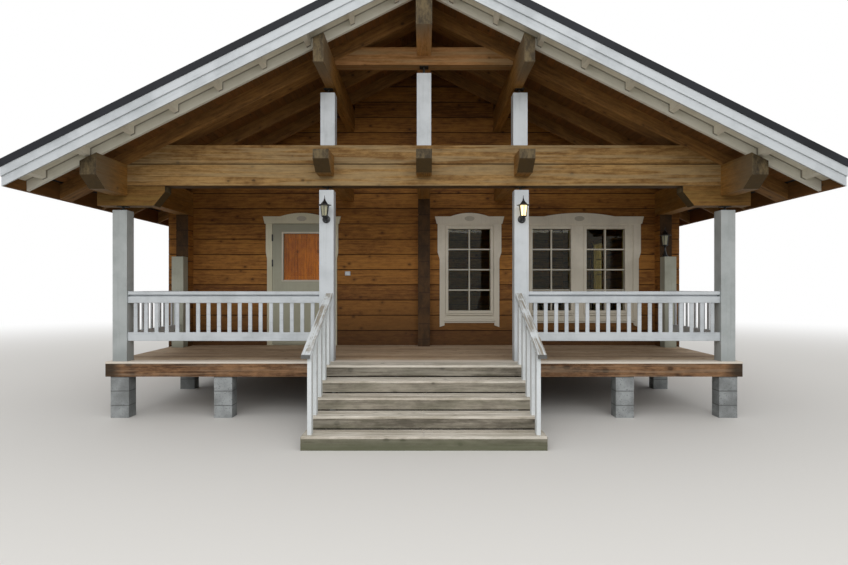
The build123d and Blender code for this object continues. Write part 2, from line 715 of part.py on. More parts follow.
# White barge boards at both gables, the upper board stepped forward over the lower
for side, name in ((-1, "barge_boards_left"), (1, "barge_boards_right")):
    with BuildPart() as barge_boards:
        for edge_y, inward in ((BARGE_Y, 1), (ROOF_BACK_Y, -1)):
            lower_y = edge_y + inward * BARGE_THICK
            roof_slab(side, 0, BARGE_LOWER, lower_y, lower_y + inward * BARGE_THICK, EAVE_X)
            roof_slab(side, BARGE_UPPER_FROM, ROOF_UP - BARGE_UPPER_FROM, edge_y, lower_y, EAVE_X)
    keep(barge_boards, name)

# Soffit strips with their lookouts between the barge boards and the verge rafters
front_strip = (BARGE_Y + 2 * BARGE_THICK, BARGE_Y + VERGE_RAFTER_SETBACK)
back_strip = (ROOF_BACK_Y - VERGE_RAFTER_SETBACK + RAFTER_THICK, ROOF_BACK_Y - 2 * BARGE_THICK)
lookout_low = VERGE_SOFFIT_UP - LOOKOUT_DEEP
lookout_count = int((rafter_end - LOOKOUT_FIRST) / LOOKOUT_SPACING) + 1
for side, name in ((-1, "verge_soffit_left"), (1, "verge_soffit_right")):
    with BuildPart() as verge_soffit:
        for near_y, far_y in (front_strip, back_strip):
            roof_slab(side, VERGE_SOFFIT_UP, VERGE_SOFFIT_THICK, near_y, far_y, rafter_end)
            for number in range(lookout_count):
                near_x = LOOKOUT_FIRST + number * LOOKOUT_SPACING - LOOKOUT_WIDE / 2
                far_x = near_x + LOOKOUT_WIDE
                outline = [
                    (side * near_x, rafter_line(near_x) + lookout_low),
                    (side * far_x, rafter_line(far_x) + lookout_low),
                    (side * far_x, rafter_line(far_x) + VERGE_SOFFIT_UP),
                    (side * near_x, rafter_line(near_x) + VERGE_SOFFIT_UP),
                ]
                panel(across(near_y), outline, near_y - far_y)
    keep(verge_soffit, name)

# Ridge cap folded over the covering
with BuildPart() as ridge_cap:
    up = ROOF_UP + COVERING
    outline = [
        (-RIDGE_CAP_HALF, rafter_line(RIDGE_CAP_HALF) + up),
        (0, rafter_line(0) + up),
        (RIDGE_CAP_HALF, rafter_line(RIDGE_CAP_HALF) + up),
        (RIDGE_CAP_HALF, rafter_line(RIDGE_CAP_HALF) + up + RIDGE_CAP_THICK),
        (0, rafter_line(0) + up + RIDGE_CAP_THICK),
        (-RIDGE_CAP_HALF, rafter_line(RIDGE_CAP_HALF) + up + RIDGE_CAP_THICK),
    ]
    panel(across(cover_front), outline, cover_front - ROOF_BACK_Y)
keep(ridge_cap, "ridge_cap")

# Stairs: sawtooth stringers, treads and riser boards
step_places = [(RISER * (number + 1), POST_Y - STAIR_REACH + GOING * number) for number in range(RISER_COUNT)]
with BuildPart() as stair_stringers:
    points = [(POST_Y - STAIR_REACH + NOSING + RISER_THICK, 0)]
    for height, nose in step_places:
        front = nose + NOSING + RISER_THICK
        points += [(front, height - TREAD_THICK), (front + GOING, height - TREAD_THICK)]
    points[-1] = (DECK_FRONT_Y - DECK_LIP, DECK_TOP - TREAD_THICK)
    points += [(DECK_FRONT_Y - DECK_LIP, RIM_BOTTOM - RISER), (DECK_FRONT_Y - STRINGER_FOOT, 0)]
    for near_x in (-TREAD_HALF, -STRINGER_THICK / 2, TREAD_HALF - STRINGER_THICK):
        panel(along(near_x), points, STRINGER_THICK)
keep(stair_stringers, "stair_stringers")

step_halves = [TREAD_HALF + BOTTOM_TREAD_EXTRA] + [TREAD_HALF] * (RISER_COUNT - 1)
with BuildPart() as stair_treads:
    for half, (height, nose) in zip(step_halves, step_places):
        back = nose + TREAD_DEPTH if height < DECK_TOP else DECK_FRONT_Y - DECK_LIP
        block((-half, nose, height - TREAD_THICK), (half, back, height))
keep(stair_treads, "stair_treads")

with BuildPart() as stair_risers:
    for half, (height, nose) in zip(step_halves, step_places):
        low = height - RISER + RISER_GAP if height > RISER else 0
        block((-half, nose + NOSING, low), (half, nose + NOSING + RISER_THICK, height - TREAD_THICK))
keep(stair_risers, "stair_risers")


def railing(plane, start, end):
    """Railing between two posts: cap, apron, bottom rail and evenly spaced balusters."""
    middle = (start + end) / 2
    span = end - start
    with BuildSketch(plane) as boards:
        with Locations((middle, DECK_TOP + APRON_TOP - APRON_HIGH / 2)):
            Rectangle(span, APRON_HIGH)
        with Locations((middle, DECK_TOP + BOTTOM_RAIL_TOP - BOTTOM_RAIL_HIGH / 2)):
            Rectangle(span, BOTTOM_RAIL_HIGH)
    extrude(boards.sketch, amount=-RAIL_THICK)
    with BuildSketch(plane) as cap:
        with Locations((middle, DECK_TOP + RAIL_TOP - RAIL_CAP_THICK / 2)):
            Rectangle(span, RAIL_CAP_THICK)
    extrude(cap.sketch, amount=-RAIL_CAP_WIDE)
    count = int(span / BALUSTER_SPACING)
    low = DECK_TOP + BOTTOM_RAIL_TOP - BOTTOM_RAIL_HIGH / 2
    high = DECK_TOP + RAIL_TOP - RAIL_CAP_THICK
    with BuildSketch(plane) as bars:
        places = [middle + (number - (count - 1) / 2) * BALUSTER_SPACING for number in range(count)]
        with Locations(*[(place, (low + high) / 2) for place in places]):
            Rectangle(BALUSTER_WIDE, high - low)
    extrude(bars.sketch, amount=-BALUSTER_THICK)


for side, name in ((-1, "porch_railing_left"), (1, "porch_railing_right")):
    with BuildPart() as porch_railing:
        ends = sorted((side * (MIDDLE_POST_X + POST / 2), side * (SIDE_MID - POST / 2)))
        railing(across(POST_Y + RAIL_SETBACK), *ends)
    keep(porch_railing, name)

with BuildPart() as side_railings:
    for side in (-1, 1):
        railing(along(side * SIDE_MID + RAIL_THICK), POST_Y + POST, LOW_POST_Y - POST / 2)
keep(side_railings, "side_railings")

# Stair railings: a sloping handrail board on uprights, one standing on each tread
def handrail_top(y):
    """Height of the handrail's upper face over the stairs."""
    return DECK_TOP + STAIR_RAIL_TOP - STAIR_RAIL_DROP * (POST_Y - y)


for side, name in ((-1, "stair_railing_left"), (1, "stair_railing_right")):
    with BuildPart() as stair_railing:
        rail_front = POST_Y - STAIR_RAIL_REACH
        outline = [
            (POST_Y, handrail_top(POST_Y)),
            (rail_front, handrail_top(rail_front)),
            (rail_front, handrail_top(rail_front) - STAIR_RAIL_THICK),
            (POST_Y, handrail_top(POST_Y) - STAIR_RAIL_THICK),
        ]
        panel(along(side * STAIR_RAIL_X - STAIR_RAIL_WIDE / 2), outline, STAIR_RAIL_WIDE)
        upright_x = min(side * TREAD_HALF, side * (TREAD_HALF - STAIR_UPRIGHT_THICK))
        for foot, nose in step_places:
            front = nose + STAIR_UPRIGHT_SETBACK
            back = front + STAIR_UPRIGHT_WIDE
            outline = [
                (front, foot),
                (back, foot),
                (back, handrail_top(back) - STAIR_RAIL_THICK),
                (front, handrail_top(front) - STAIR_RAIL_THICK),
            ]
            panel(along(upright_x), outline, STAIR_UPRIGHT_THICK)
    keep(stair_railing, name)


def window(plane, centre, width, panes, glass_width):
    """Frame in the wall with stepped casing boards and a low arched header outside."""
    half = width / 2
    casing_bottom = WINDOW_SILL - CASING_BELOW
    with BuildSketch(plane) as frame:
        with Locations((centre, (WINDOW_SILL + WINDOW_HEAD) / 2)):
            Rectangle(width, WINDOW_HEAD - WINDOW_SILL)
        with Locations(*[(centre + pane, GLASS_BOTTOM + GLASS_HIGH / 2) for pane in panes]):
            Rectangle(glass_width, GLASS_HIGH, mode=Mode.SUBTRACT)
    extrude(frame.sketch, amount=-FRAME_DEEP)
    with BuildSketch(plane) as casing:
        with BuildLine():
            Polyline(*casing_outline(centre, half + CASING_WIDE, half + CASING_FOOT_WIDE, casing_bottom), close=True)
        make_face()
        with Locations((centre, (WINDOW_SILL + WINDOW_HEAD) / 2)):
            Rectangle(width - 2 * CASING_LAP, WINDOW_HEAD - WINDOW_SILL - 2 * CASING_LAP, mode=Mode.SUBTRACT)
    extrude(casing.sketch, amount=CASING_THICK)
    header(plane, centre, half + CASING_WIDE + HEADER_LAP)


def casing_outline(centre, top_half, foot_half, bottom):
    """Casing that narrows below its shoulders."""
    right = [
        (centre + foot_half, bottom),
        (centre + foot_half, GABLE_BOTTOM - CASING_STEP_DROP - CASING_STEP_RUN),
        (centre + top_half, GABLE_BOTTOM - CASING_STEP_DROP),
        (centre + top_half, HEADER_BOTTOM),
    ]
    left = [(2 * centre - x, z) for x, z in right]
    return right + left[::-1]


def header(plane, centre, half):
    """Header board with slanted ends and a low arch in the middle."""
    top = HEADER_BOTTOM + HEADER_HIGH
    arch = half * HEADER_ARCH_HALF
    with BuildSketch(plane) as board:
        with BuildLine():
            Polyline((centre - arch, top), (centre - half, top), (centre - half + HEADER_SLANT, HEADER_BOTTOM),
                     (centre + half - HEADER_SLANT, HEADER_BOTTOM), (centre + half, top), (centre + arch, top))
            ThreePointArc((centre + arch, top), (centre, top + HEADER_ARCH_RISE), (centre - arch, top))
        make_face()
    extrude(board.sketch, amount=HEADER_THICK)


def glass(plane, centre, panes, glass_width):
    """Sealed glass unit in each light of a window."""
    with BuildSketch(plane.offset(-GLASS_BACK)) as sheet:
        with Locations(*[(centre + pane, GLASS_BOTTOM + GLASS_HIGH / 2) for pane in panes]):
            Rectangle(glass_width, GLASS_HIGH)
    extrude(sheet.sketch, amount=-GLASS_THICK)


double_panes = (-DOUBLE_GLASS_OFFSET, DOUBLE_GLASS_OFFSET)
back_plane = Plane(origin=(0, BACK_WALL_Y, 0), x_dir=(-1, 0, 0), z_dir=(0, 1, 0))
left_plane = Plane(origin=(-SIDE_OUT, side_window_y, 0), x_dir=(0, -1, 0), z_dir=(-1, 0, 0))
right_plane = Plane(origin=(SIDE_OUT, side_window_y, 0), x_dir=(0, 1, 0), z_dir=(1, 0, 0))
window_places = (
    ("front_windows", across(WALL_Y), WINDOW_X, WINDOW_WIDE, (0,), GLASS_WIDE),
    ("front_windows", across(WALL_Y), DOUBLE_X, DOUBLE_WIDE, double_panes, DOUBLE_GLASS_WIDE),
    ("back_window", back_plane, 0, WINDOW_WIDE, (0,), GLASS_WIDE),
    ("side_windows", left_plane, 0, WINDOW_WIDE, (0,), GLASS_WIDE),
    ("side_windows", right_plane, 0, WINDOW_WIDE, (0,), GLASS_WIDE),
)
for node in ("front_windows", "back_window", "side_windows"):
    with BuildPart() as window_frame:
        for name, plane, centre, width, panes, glass_width in window_places:
            if name == node:
                window(plane, centre, width, panes, glass_width)
    keep(window_frame, node)

with BuildPart() as window_glass:
    for name, plane, centre, width, panes, glass_width in window_places:
        glass(plane, centre, panes, glass_width)
keep(window_glass, "window_glass")

# Door frame with its casing, threshold and the fixed hinge knuckles
leaf_left = DOOR_X - DOOR_HALF
leaf_right = DOOR_X + DOOR_HALF
leaf_bottom = DECK_TOP + THRESHOLD + DOOR_CLEAR
leaf_front = WALL_Y - CASING_THICK - DOOR_PROUD
hinge_x = leaf_left
hinge_y = leaf_front - HINGE_RADIUS
hinge_heights = (leaf_bottom + HINGE_LIFT, DOOR_HEAD - HINGE_SECOND_DROP, DOOR_HEAD - HINGE_DROP)
with BuildPart() as door_frame:
    clear_half = DOOR_HALF + DOOR_CLEAR
    stop_half = clear_half - JAMB_STOP
    stop_y = leaf_front + DOOR_THICK + DOOR_CLEAR
    with BuildSketch(across(WALL_Y)) as lining:
        with Locations((DOOR_X, DECK_TOP)):
            Rectangle(2 * DOOR_OPENING_HALF, DOOR_OPENING_TOP - DECK_TOP, align=(Align.CENTER, Align.MIN))
        with Locations((DOOR_X, DECK_TOP + THRESHOLD)):
            Rectangle(2 * clear_half, DOOR_HEAD + DOOR_CLEAR - DECK_TOP - THRESHOLD,
                      align=(Align.CENTER, Align.MIN), mode=Mode.SUBTRACT)
    extrude(lining.sketch, amount=-WALL)
    with BuildSketch(across(stop_y)) as stop:
        with Locations((DOOR_X, DECK_TOP)):
            Rectangle(2 * clear_half, DOOR_HEAD + DOOR_CLEAR - DECK_TOP, align=(Align.CENTER, Align.MIN))
        with Locations((DOOR_X, DECK_TOP + THRESHOLD)):
            Rectangle(2 * stop_half, DOOR_HEAD - JAMB_STOP - DECK_TOP - THRESHOLD,
                      align=(Align.CENTER, Align.MIN), mode=Mode.SUBTRACT)
    extrude(stop.sketch, amount=-(WALL_Y + WALL - stop_y))
    with BuildSketch(across(WALL_Y)) as casing:
        with BuildLine():
            Polyline(*casing_outline(DOOR_X, clear_half + DOOR_CASING_WIDE, clear_half + DOOR_CASING_FOOT_WIDE,
                                     DECK_TOP), close=True)
        make_face()
        with Locations((DOOR_X, DECK_TOP)):
            Rectangle(2 * clear_half, DOOR_HEAD + DOOR_CLEAR - DECK_TOP, align=(Align.CENTER, Align.MIN),
                      mode=Mode.SUBTRACT)
    extrude(casing.sketch, amount=CASING_THICK)
    header(across(WALL_Y), DOOR_X, clear_half + DOOR_CASING_WIDE + HEADER_LAP)
    for z in hinge_heights:
        with BuildSketch(Plane.XY.offset(z - HINGE_LONG - HINGE_GAP)) as knuckle:
            with Locations((hinge_x, hinge_y)):
                Circle(HINGE_RADIUS)
            strap_deep = WALL_Y - CASING_THICK - hinge_y
            with Locations((hinge_x - HINGE_RADIUS / 2 - HINGE_STRAP / 2, hinge_y + strap_deep / 2)):
                Rectangle(HINGE_STRAP, strap_deep)
        extrude(knuckle.sketch, amount=HINGE_LONG)
keep(door_frame, "door_frame")

# Door leaf, its glass and its handle, which swing outwards together
with BuildPart() as door_leaf:
    block((leaf_left, leaf_front, leaf_bottom), (leaf_right, leaf_front + DOOR_THICK, DOOR_HEAD))
    block((DOOR_X - DOOR_GLASS_HALF, leaf_front, DOOR_GLASS_BOTTOM),
          (DOOR_X + DOOR_GLASS_HALF, leaf_front + DOOR_THICK, DOOR_GLASS_TOP), mode=Mode.SUBTRACT)
    for z in hinge_heights:
        with BuildSketch(Plane.XY.offset(z)) as knuckle:
            with Locations((hinge_x, hinge_y)):
                Circle(HINGE_RADIUS)
            with Locations((hinge_x + HINGE_STRAP / 2, (leaf_front + hinge_y) / 2)):
                Rectangle(HINGE_STRAP, HINGE_RADIUS)
        extrude(knuckle.sketch, amount=HINGE_LONG)
keep(door_leaf, "door_leaf")

with BuildPart() as door_glass:
    middle_y = leaf_front + DOOR_THICK / 2
    block((DOOR_X - DOOR_GLASS_HALF, middle_y - GLASS_THICK / 2, DOOR_GLASS_BOTTOM),
          (DOOR_X + DOOR_GLASS_HALF, middle_y + GLASS_THICK / 2, DOOR_GLASS_TOP))
keep(door_glass, "door_glass")

with BuildPart() as door_handle:
    handle_x = leaf_right - HANDLE_INSET
    handle_z = DECK_TOP + HANDLE_UP
    with BuildSketch(across(leaf_front)) as stem:
        with Locations((handle_x, handle_z)):
            Circle(HANDLE_RADIUS)
    extrude(stem.sketch, amount=HANDLE_REACH)
    with BuildSketch(along(handle_x + HANDLE_RADIUS)) as lever:
        with Locations((leaf_front - HANDLE_REACH, handle_z)):
            Circle(HANDLE_RADIUS)
    extrude(lever.sketch, amount=-HANDLE_LONG)
keep(door_handle, "door_handle")

# Six-sided lanterns: two on brackets on the middle posts, one on a flared foot on the right low post
post_lanterns = [(side * MIDDLE_POST_X, POST_Y - LANTERN_REACH, DECK_TOP + LANTERN_UP) for side in (-1, 1)]
low_lantern = (SIDE_MID - LOW_LANTERN_IN, LOW_POST_Y, DECK_TOP + LOW_LANTERN_UP)
lantern_rings = (
    (-LANTERN_CUP_DROP, LANTERN_ARM, LANTERN_GLASS_LOW, LANTERN_FOOT),
    (LANTERN_GLASS_LOW, LANTERN_FOOT, LANTERN_GLASS_HIGH, LANTERN_SHOULDER),
    (LANTERN_GLASS_HIGH, LANTERN_BRIM, LANTERN_GLASS_HIGH + LANTERN_BRIM_THICK, LANTERN_BRIM),
    (LANTERN_GLASS_HIGH + LANTERN_BRIM_THICK, LANTERN_SHOULDER, LANTERN_ROOF_HIGH, LANTERN_ARM),
    (LANTERN_ROOF_HIGH, LANTERN_TIP, LANTERN_TIP_HIGH, LANTERN_TIP),
)


def lantern_stage(x, y, low, low_radius, high, high_radius):
    """Six-sided stage of a lantern, tapered from one height to another."""
    with BuildSketch(Plane.XY.offset(low)) as ring:
        with Locations((x, y)):
            RegularPolygon(low_radius, LANTERN_SIDES)
    with BuildSketch(Plane.XY.offset(high)) as next_ring:
        with Locations((x, y)):
            RegularPolygon(high_radius, LANTERN_SIDES)
    loft([ring.sketch.face(), next_ring.sketch.face()])


with BuildPart() as lanterns:
    for x, y, z in post_lanterns:
        with BuildSketch(across(POST_Y)) as plate:
            with Locations((x, z)):
                RegularPolygon(LANTERN_PLATE, 2 * LANTERN_SIDES)
        extrude(plate.sketch, amount=LANTERN_PLATE_THICK)
        block((x - LANTERN_ARM / 2, y, z - LANTERN_ARM / 2),
              (x + LANTERN_ARM / 2, POST_Y - LANTERN_PLATE_THICK, z + LANTERN_ARM / 2))
    for x, y, z in post_lanterns + [low_lantern]:
        for low, low_radius, high, high_radius in lantern_rings:
            lantern_stage(x, y, z + low, low_radius, z + high, high_radius)
    x, y, z = low_lantern
    lantern_stage(x, y, DECK_TOP + LOW_POST_HIGH, LANTERN_PEDESTAL, z - LANTERN_CUP_DROP, LANTERN_ARM)
keep(lanterns, "lanterns")
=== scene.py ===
# %% [markdown]
# # A log cabin with a gabled porch
# The cabin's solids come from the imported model: logs, posts, beams, roof and frames. This
# lesson dresses them. It gives each wood, paint and metal its finish, and adds the thin
# pieces that a carpenter fixes last: boards, sashes, bars, beads, hinges and lanterns.

# %% Load the frame
import json
import math

import bmesh
import bpy
from mathutils import Matrix, Vector


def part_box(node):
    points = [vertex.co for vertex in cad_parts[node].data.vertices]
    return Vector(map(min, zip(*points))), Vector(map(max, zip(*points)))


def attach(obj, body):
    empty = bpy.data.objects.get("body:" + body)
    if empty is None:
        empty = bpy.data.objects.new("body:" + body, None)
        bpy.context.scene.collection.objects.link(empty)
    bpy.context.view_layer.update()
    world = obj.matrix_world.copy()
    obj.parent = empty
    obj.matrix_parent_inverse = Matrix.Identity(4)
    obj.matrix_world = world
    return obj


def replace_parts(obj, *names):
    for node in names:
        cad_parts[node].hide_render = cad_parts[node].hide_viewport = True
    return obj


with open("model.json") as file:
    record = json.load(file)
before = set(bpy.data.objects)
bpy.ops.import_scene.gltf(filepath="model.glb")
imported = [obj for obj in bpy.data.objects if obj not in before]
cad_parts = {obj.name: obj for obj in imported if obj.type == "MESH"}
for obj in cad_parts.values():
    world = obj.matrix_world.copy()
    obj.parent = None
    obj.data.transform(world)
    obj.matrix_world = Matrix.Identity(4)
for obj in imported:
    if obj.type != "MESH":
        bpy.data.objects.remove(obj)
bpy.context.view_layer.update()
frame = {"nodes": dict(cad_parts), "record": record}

nodes = frame["nodes"]

# %% [markdown]
# ## Where things are
# On site each board is measured from the frame that already stands. In the same way every
# place below is read from the boxes of the solids, so the pieces follow them. Only what no
# box gives is written down, in metres: log courses, sections, the going and reach of the
# stairs, and the slopes of roof and stairs.

# %% Places read from the solids
FRONT_WALL_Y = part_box("front_gable")[0].y
BACK_WALL_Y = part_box("back_wall")[1].y
SIDE_WALL_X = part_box("side_wall_right")[1].x
LOG_FOOT_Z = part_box("side_wall_left")[0].z
TIE_SEAM_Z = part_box("tie_beam_upper")[0].z
POST_FRONT_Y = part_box("corner_posts")[0].y
DECK_LOW, DECK_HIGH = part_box("deck_boards")
COURSE, TIE_COURSE, LOG_THICK, POST_WIDE = 0.26, 0.29, 0.2, 0.19
RISE, GOING, STAIR_REACH = 0.15, 0.30, 1.6
ROOF_ANGLE = math.atan(0.5)
STAIR_ANGLE = math.atan(0.41)
MIDDLE_POST_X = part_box("middle_posts")[1].x - POST_WIDE / 2
print("walls", round(FRONT_WALL_Y, 3), round(BACK_WALL_Y, 3), "deck top", round(DECK_HIGH.z, 3))

# %% [markdown]
# ## Small tools
# A colour is written as an sRGB hex value, as a paint chart gives it, and one function turns
# it into the linear numbers that Blender works with. Materials could be wired by hand in the
# editor, but over thirty woods and paints share their patterns, so one small function adds a
# node, with its settings and its links, and everything below is built with it.

# %% Colours, nodes and materials
def linear(colour):
    """Linear red, green, blue and alpha of an sRGB hex colour."""
    parts = [int(colour[i:i + 2], 16) / 255 for i in (1, 3, 5)]
    return [p / 12.92 if p <= 0.04045 else ((p + 0.055) / 1.055) ** 2.4 for p in parts] + [1]


def plug(tree, source, socket):
    """Feed a socket from a node's first output in use, from one output, a hex colour or a value."""
    if isinstance(source, bpy.types.Node):
        source = next(output for output in source.outputs if output.enabled)
    if isinstance(source, bpy.types.NodeSocket):
        tree.links.new(source, socket)
    else:
        socket.default_value = linear(source) if isinstance(source, str) else source


def add_node(tree, kind, *sources, **settings):
    """Add a node. Sources feed its inputs in the order that Blender shows; settings are its
    properties, or sources for its inputs by name."""
    node = tree.nodes.new("ShaderNode" + kind)
    for name in [name for name in settings if hasattr(node, name)]:
        setattr(node, name, settings.pop(name))
    shown = [socket for socket in node.inputs if socket.enabled]
    named = [node.inputs[name.replace("_", " ")] for name in settings]
    for socket, source in zip(shown[:len(sources)] + named, [*sources, *settings.values()]):
        plug(tree, source, socket)
    return node


def start_material(name, **settings):
    """A material whose shader gets the given values."""
    material = bpy.data.materials.new(name)
    material.use_nodes = True
    tree = material.node_tree
    shader = tree.nodes["Principled BSDF"]
    for socket, value in settings.items():
        plug(tree, value, shader.inputs[socket.replace("_", " ")])
    print("finish", name)
    return material, tree, shader


# %% [markdown]
# Every finish here is built up as a painter does it: a ground colour, then films, stains and
# dirt laid over it where a pattern says so, and last a fine relief that catches the light.
# In a few places shade is painted over the colour in the same way.

# %% Steps that finishes are made of
def swing(tree, value, amount, start):
    """How far a value lies above or below one half, made larger and added to a start."""
    centred = add_node(tree, "Math", value, 0.5, operation="SUBTRACT")
    return add_node(tree, "Math", centred, amount, start, operation="MULTIPLY_ADD")


def lay_over(tree, colour, shade, share, value, low, high):
    """Lay a share of a shade over a colour as a value goes from low to high. Gives the new
    colour and the mask."""
    mask = add_node(tree, "MapRange", value, low, high, interpolation_type="SMOOTHSTEP")
    part = add_node(tree, "Math", mask, share, operation="MULTIPLY")
    return add_node(tree, "Mix", part, colour, shade, data_type="RGBA"), mask


def dress(tree, shader, colour, height, strength, depth):
    """Feed a shader its colour, and a relief that is depth metres deep."""
    relief = add_node(tree, "Bump", Height=height, Strength=strength, Distance=depth)
    plug(tree, colour, shader.inputs["Base Color"])
    plug(tree, relief, shader.inputs["Normal"])


# %% [markdown]
# ## Wood finishes
# A planed log shows its growth lines as long streaks. A picture of wood could be wrapped
# round it, but would repeat from log to log and smear on the cut ends. So the grain is noise
# in the object's own space, which is turned so that the grain runs along X and then drawn
# out. The size of a pattern is given in metres, and one divided by it is the noise's scale.

# %% Grain
GRAIN_TURNS = {
    "x": (0, 0, 0),
    "y": (0, 0, -math.pi / 2),
    "z": (0, math.pi / 2, 0),
    "left": (0, ROOF_ANGLE, 0),
    "right": (0, -ROOF_ANGLE, 0),
    "stair": (-STAIR_ANGLE, 0, -math.pi / 2),
}


def draw_grain(tree, along, long, wide, **settings):
    """Noise drawn out along the grain, with the length and width of one fibre or patch."""
    spread = add_node(tree, "Mapping", along, Scale=(1 / long, 1 / wide, 1 / wide))
    return add_node(tree, "TexNoise", spread, Scale=1, **settings)


# %% [markdown]
# A knot is the root of a branch: a dark eye of about 40 by 60 mm in a wider swirl. They sit a
# hand's width to half a metre apart, which cells of 0.18 by 0.26 m give, each with one eye.
# Cracks open along the grain as a log dries. Real ones are a few millimetres wide, too fine
# to show from ten metres, so these are drawn about 10 mm wide.

# %% Knots and drying cracks
def add_knots(tree, along, colour, dark, knot, knot_size):
    """Knots and cracks. Gives the new colour and the dents that they make; knot_size is a knot's
    radius as a share of its cell."""
    ovals = add_node(tree, "Mapping", along, Scale=(0.7, 1, 1))
    cells = add_node(tree, "TexVoronoi", ovals, Scale=1 / 0.182)
    ripple = add_node(tree, "TexNoise", along, Scale=1 / 0.0333, Detail=2)
    cells = add_node(tree, "Math", ripple, 0.05, cells, operation="MULTIPLY_ADD")
    fibres = draw_grain(tree, along, long=0.667, wide=0.0125, Detail=3)
    colour, _ = lay_over(tree, colour, dark, 0.4, cells, knot_size * 2.6, knot_size)
    colour, eyes = lay_over(tree, colour, knot, 0.6, cells, knot_size * 1.3, knot_size * 0.7)
    colour, cracks = lay_over(tree, colour, knot, 0.65, fibres, 0.66, 0.73)
    return colour, add_node(tree, "Math", cracks, eyes, operation="MAXIMUM")


# %% [markdown]
# Sun turns the surface of bare wood grey in streaks. Old stain and dirt stay in blots, and a
# foot near the ground or an end out in the rain changes colour over a stretch. At the foot of
# the log walls that darker stretch is painted shade. Cut ends go
# darkest, because open pores drink water. These could be painted by hand on each log, but
# the rules are the same for all, so they are worked out from place and direction.

# %% Weather and cut ends
def add_weather(tree, along, sides, streaks, patches, colour, grey, stain, weather_and_shade):
    """Grey film, blots and a changing stretch (weathering on most woods, painted shade on the logs), each
    where given.
    """
    if grey:
        shade, share = grey
        film = draw_grain(tree, along, long=1.25, wide=0.05, Detail=6)
        colour, _ = lay_over(tree, colour, shade, share, film, 0.62 - share * 0.4, 0.80 - share * 0.4)
    if stain:
        shade, share = stain
        blots = draw_grain(tree, along, long=0.549, wide=0.128, Detail=7, Roughness=0.7)
        colour, _ = lay_over(tree, colour, shade, share, blots, 0.46, 0.64)
    if weather_and_shade:
        axis, clear_at, full_at, shade = weather_and_shade
        reach = sides[axis.upper()]
        if axis == "x":
            reach = add_node(tree, "Math", reach, operation="ABSOLUTE")
        reach = swing(tree, patches, (full_at - clear_at) * 0.5, reach)
        share = add_node(tree, "MapRange", streaks, 0.2, 0.5, 0, 0.85, interpolation_type="SMOOTHSTEP")
        colour, _ = lay_over(tree, colour, shade, share, reach, clear_at, full_at)
    return colour


def add_cut_ends(tree, place, along, turn, fuzz, colour, dark, light, bevel):
    """Blotched dark wood where a face looks along the grain, with its own tone on the bevel."""
    facing = add_node(tree, "Mapping", place.outputs["Normal"], vector_type="NORMAL", Rotation=turn)
    cut = add_node(tree, "SeparateXYZ", facing).outputs["X"]
    cut = add_node(tree, "Math", cut, operation="ABSOLUTE")
    spread = add_node(tree, "Mapping", along, Scale=(1, 1, 0.5))
    blotches = add_node(tree, "TexNoise", spread, Scale=1 / 0.111, Detail=8, Roughness=0.78)
    face, _ = lay_over(tree, dark, light, 1, blotches, 0.36, 0.64)
    side = add_node(tree, "Mix", fuzz, bevel, dark, data_type="RGBA")
    face, _ = lay_over(tree, side, face, 1, cut, 0.85, 0.95)
    return lay_over(tree, colour, face, 1, cut, 0.35, 0.5)[0]


# %% [markdown]
# The streaks are 25 mm wide, wider than real growth lines of 3 mm, which are too fine to
# show from ten metres. Each log or board takes the stain its own way, as no two trees are
# alike. It could have a material of its own, but one white noise on its number in the stack
# gives every one its tint. A shadowed line lies in the seam between two logs.

# %% Timber
def timber(name, grain, light, dark, knot, stack=None, seam=None, end=None, weather_and_shade=None, grey=None,
           stain=None, rough=0.7, knot_size=0.12, contrast=1.0):
    """Bare or stained softwood. stack is (axis, base, pitch) of logs or boards that differ in
    tint, seam is half the width of the dark line between them, end is (dark, light, bevel) of a
    cut end, weather_and_shade is (axis, clear_at, full_at, shade) of a stretch that changes
    colour (weathering on most woods, painted shade at the foot of the log walls), and grey and
    stain are (shade, share)."""
    material, tree, shader = start_material(name, Roughness=rough, Specular_IOR_Level=0.25)
    place = add_node(tree, "TexCoord")
    sides = add_node(tree, "SeparateXYZ", place.outputs["Object"]).outputs
    along = add_node(tree, "Mapping", place.outputs["Object"], Rotation=GRAIN_TURNS[grain])
    streaks = draw_grain(tree, along, long=0.625, wide=0.025, Detail=8, Roughness=0.7, Distortion=0.5)
    patches = draw_grain(tree, along, long=0.833, wide=0.298, Detail=5, Roughness=0.6)
    fuzz = draw_grain(tree, along, long=0.125, wide=0.039, Detail=5, Roughness=0.75)
    tone = 0.5
    for pattern, amount in ((streaks, 1.9), (patches, 1.3), (fuzz, 1.3)):
        tone = swing(tree, pattern, amount * contrast, tone)
    if stack:
        axis, base, pitch = stack
        count = add_node(tree, "Math", sides[axis.upper()], base, operation="SUBTRACT")
        count = add_node(tree, "Math", count, pitch, operation="DIVIDE")
        number = add_node(tree, "Math", count, operation="FLOOR")
        tint = add_node(tree, "TexWhiteNoise", number, noise_dimensions="1D")
        tone = swing(tree, tint, 0.45 * contrast, tone)
    colour = add_node(tree, "Mix", tone, dark, light, data_type="RGBA")
    colour, dents = add_knots(tree, along, colour, dark, knot, knot_size)
    colour = add_weather(tree, along, sides, streaks, patches, colour, grey, stain, weather_and_shade)
    if end:
        colour = add_cut_ends(tree, place, along, GRAIN_TURNS[grain], fuzz, colour, *end)
    if seam:
        gap = add_node(tree, "Math", count, 0.5, operation="PINGPONG")
        gap = add_node(tree, "Math", gap, pitch, operation="MULTIPLY")
        colour, _ = lay_over(tree, colour, knot, 0.8, gap, seam, seam * 0.4)
    height = add_node(tree, "Math", dents, -0.8, streaks, operation="MULTIPLY_ADD")
    dress(tree, shader, colour, height, 0.5, 0.004)
    return material
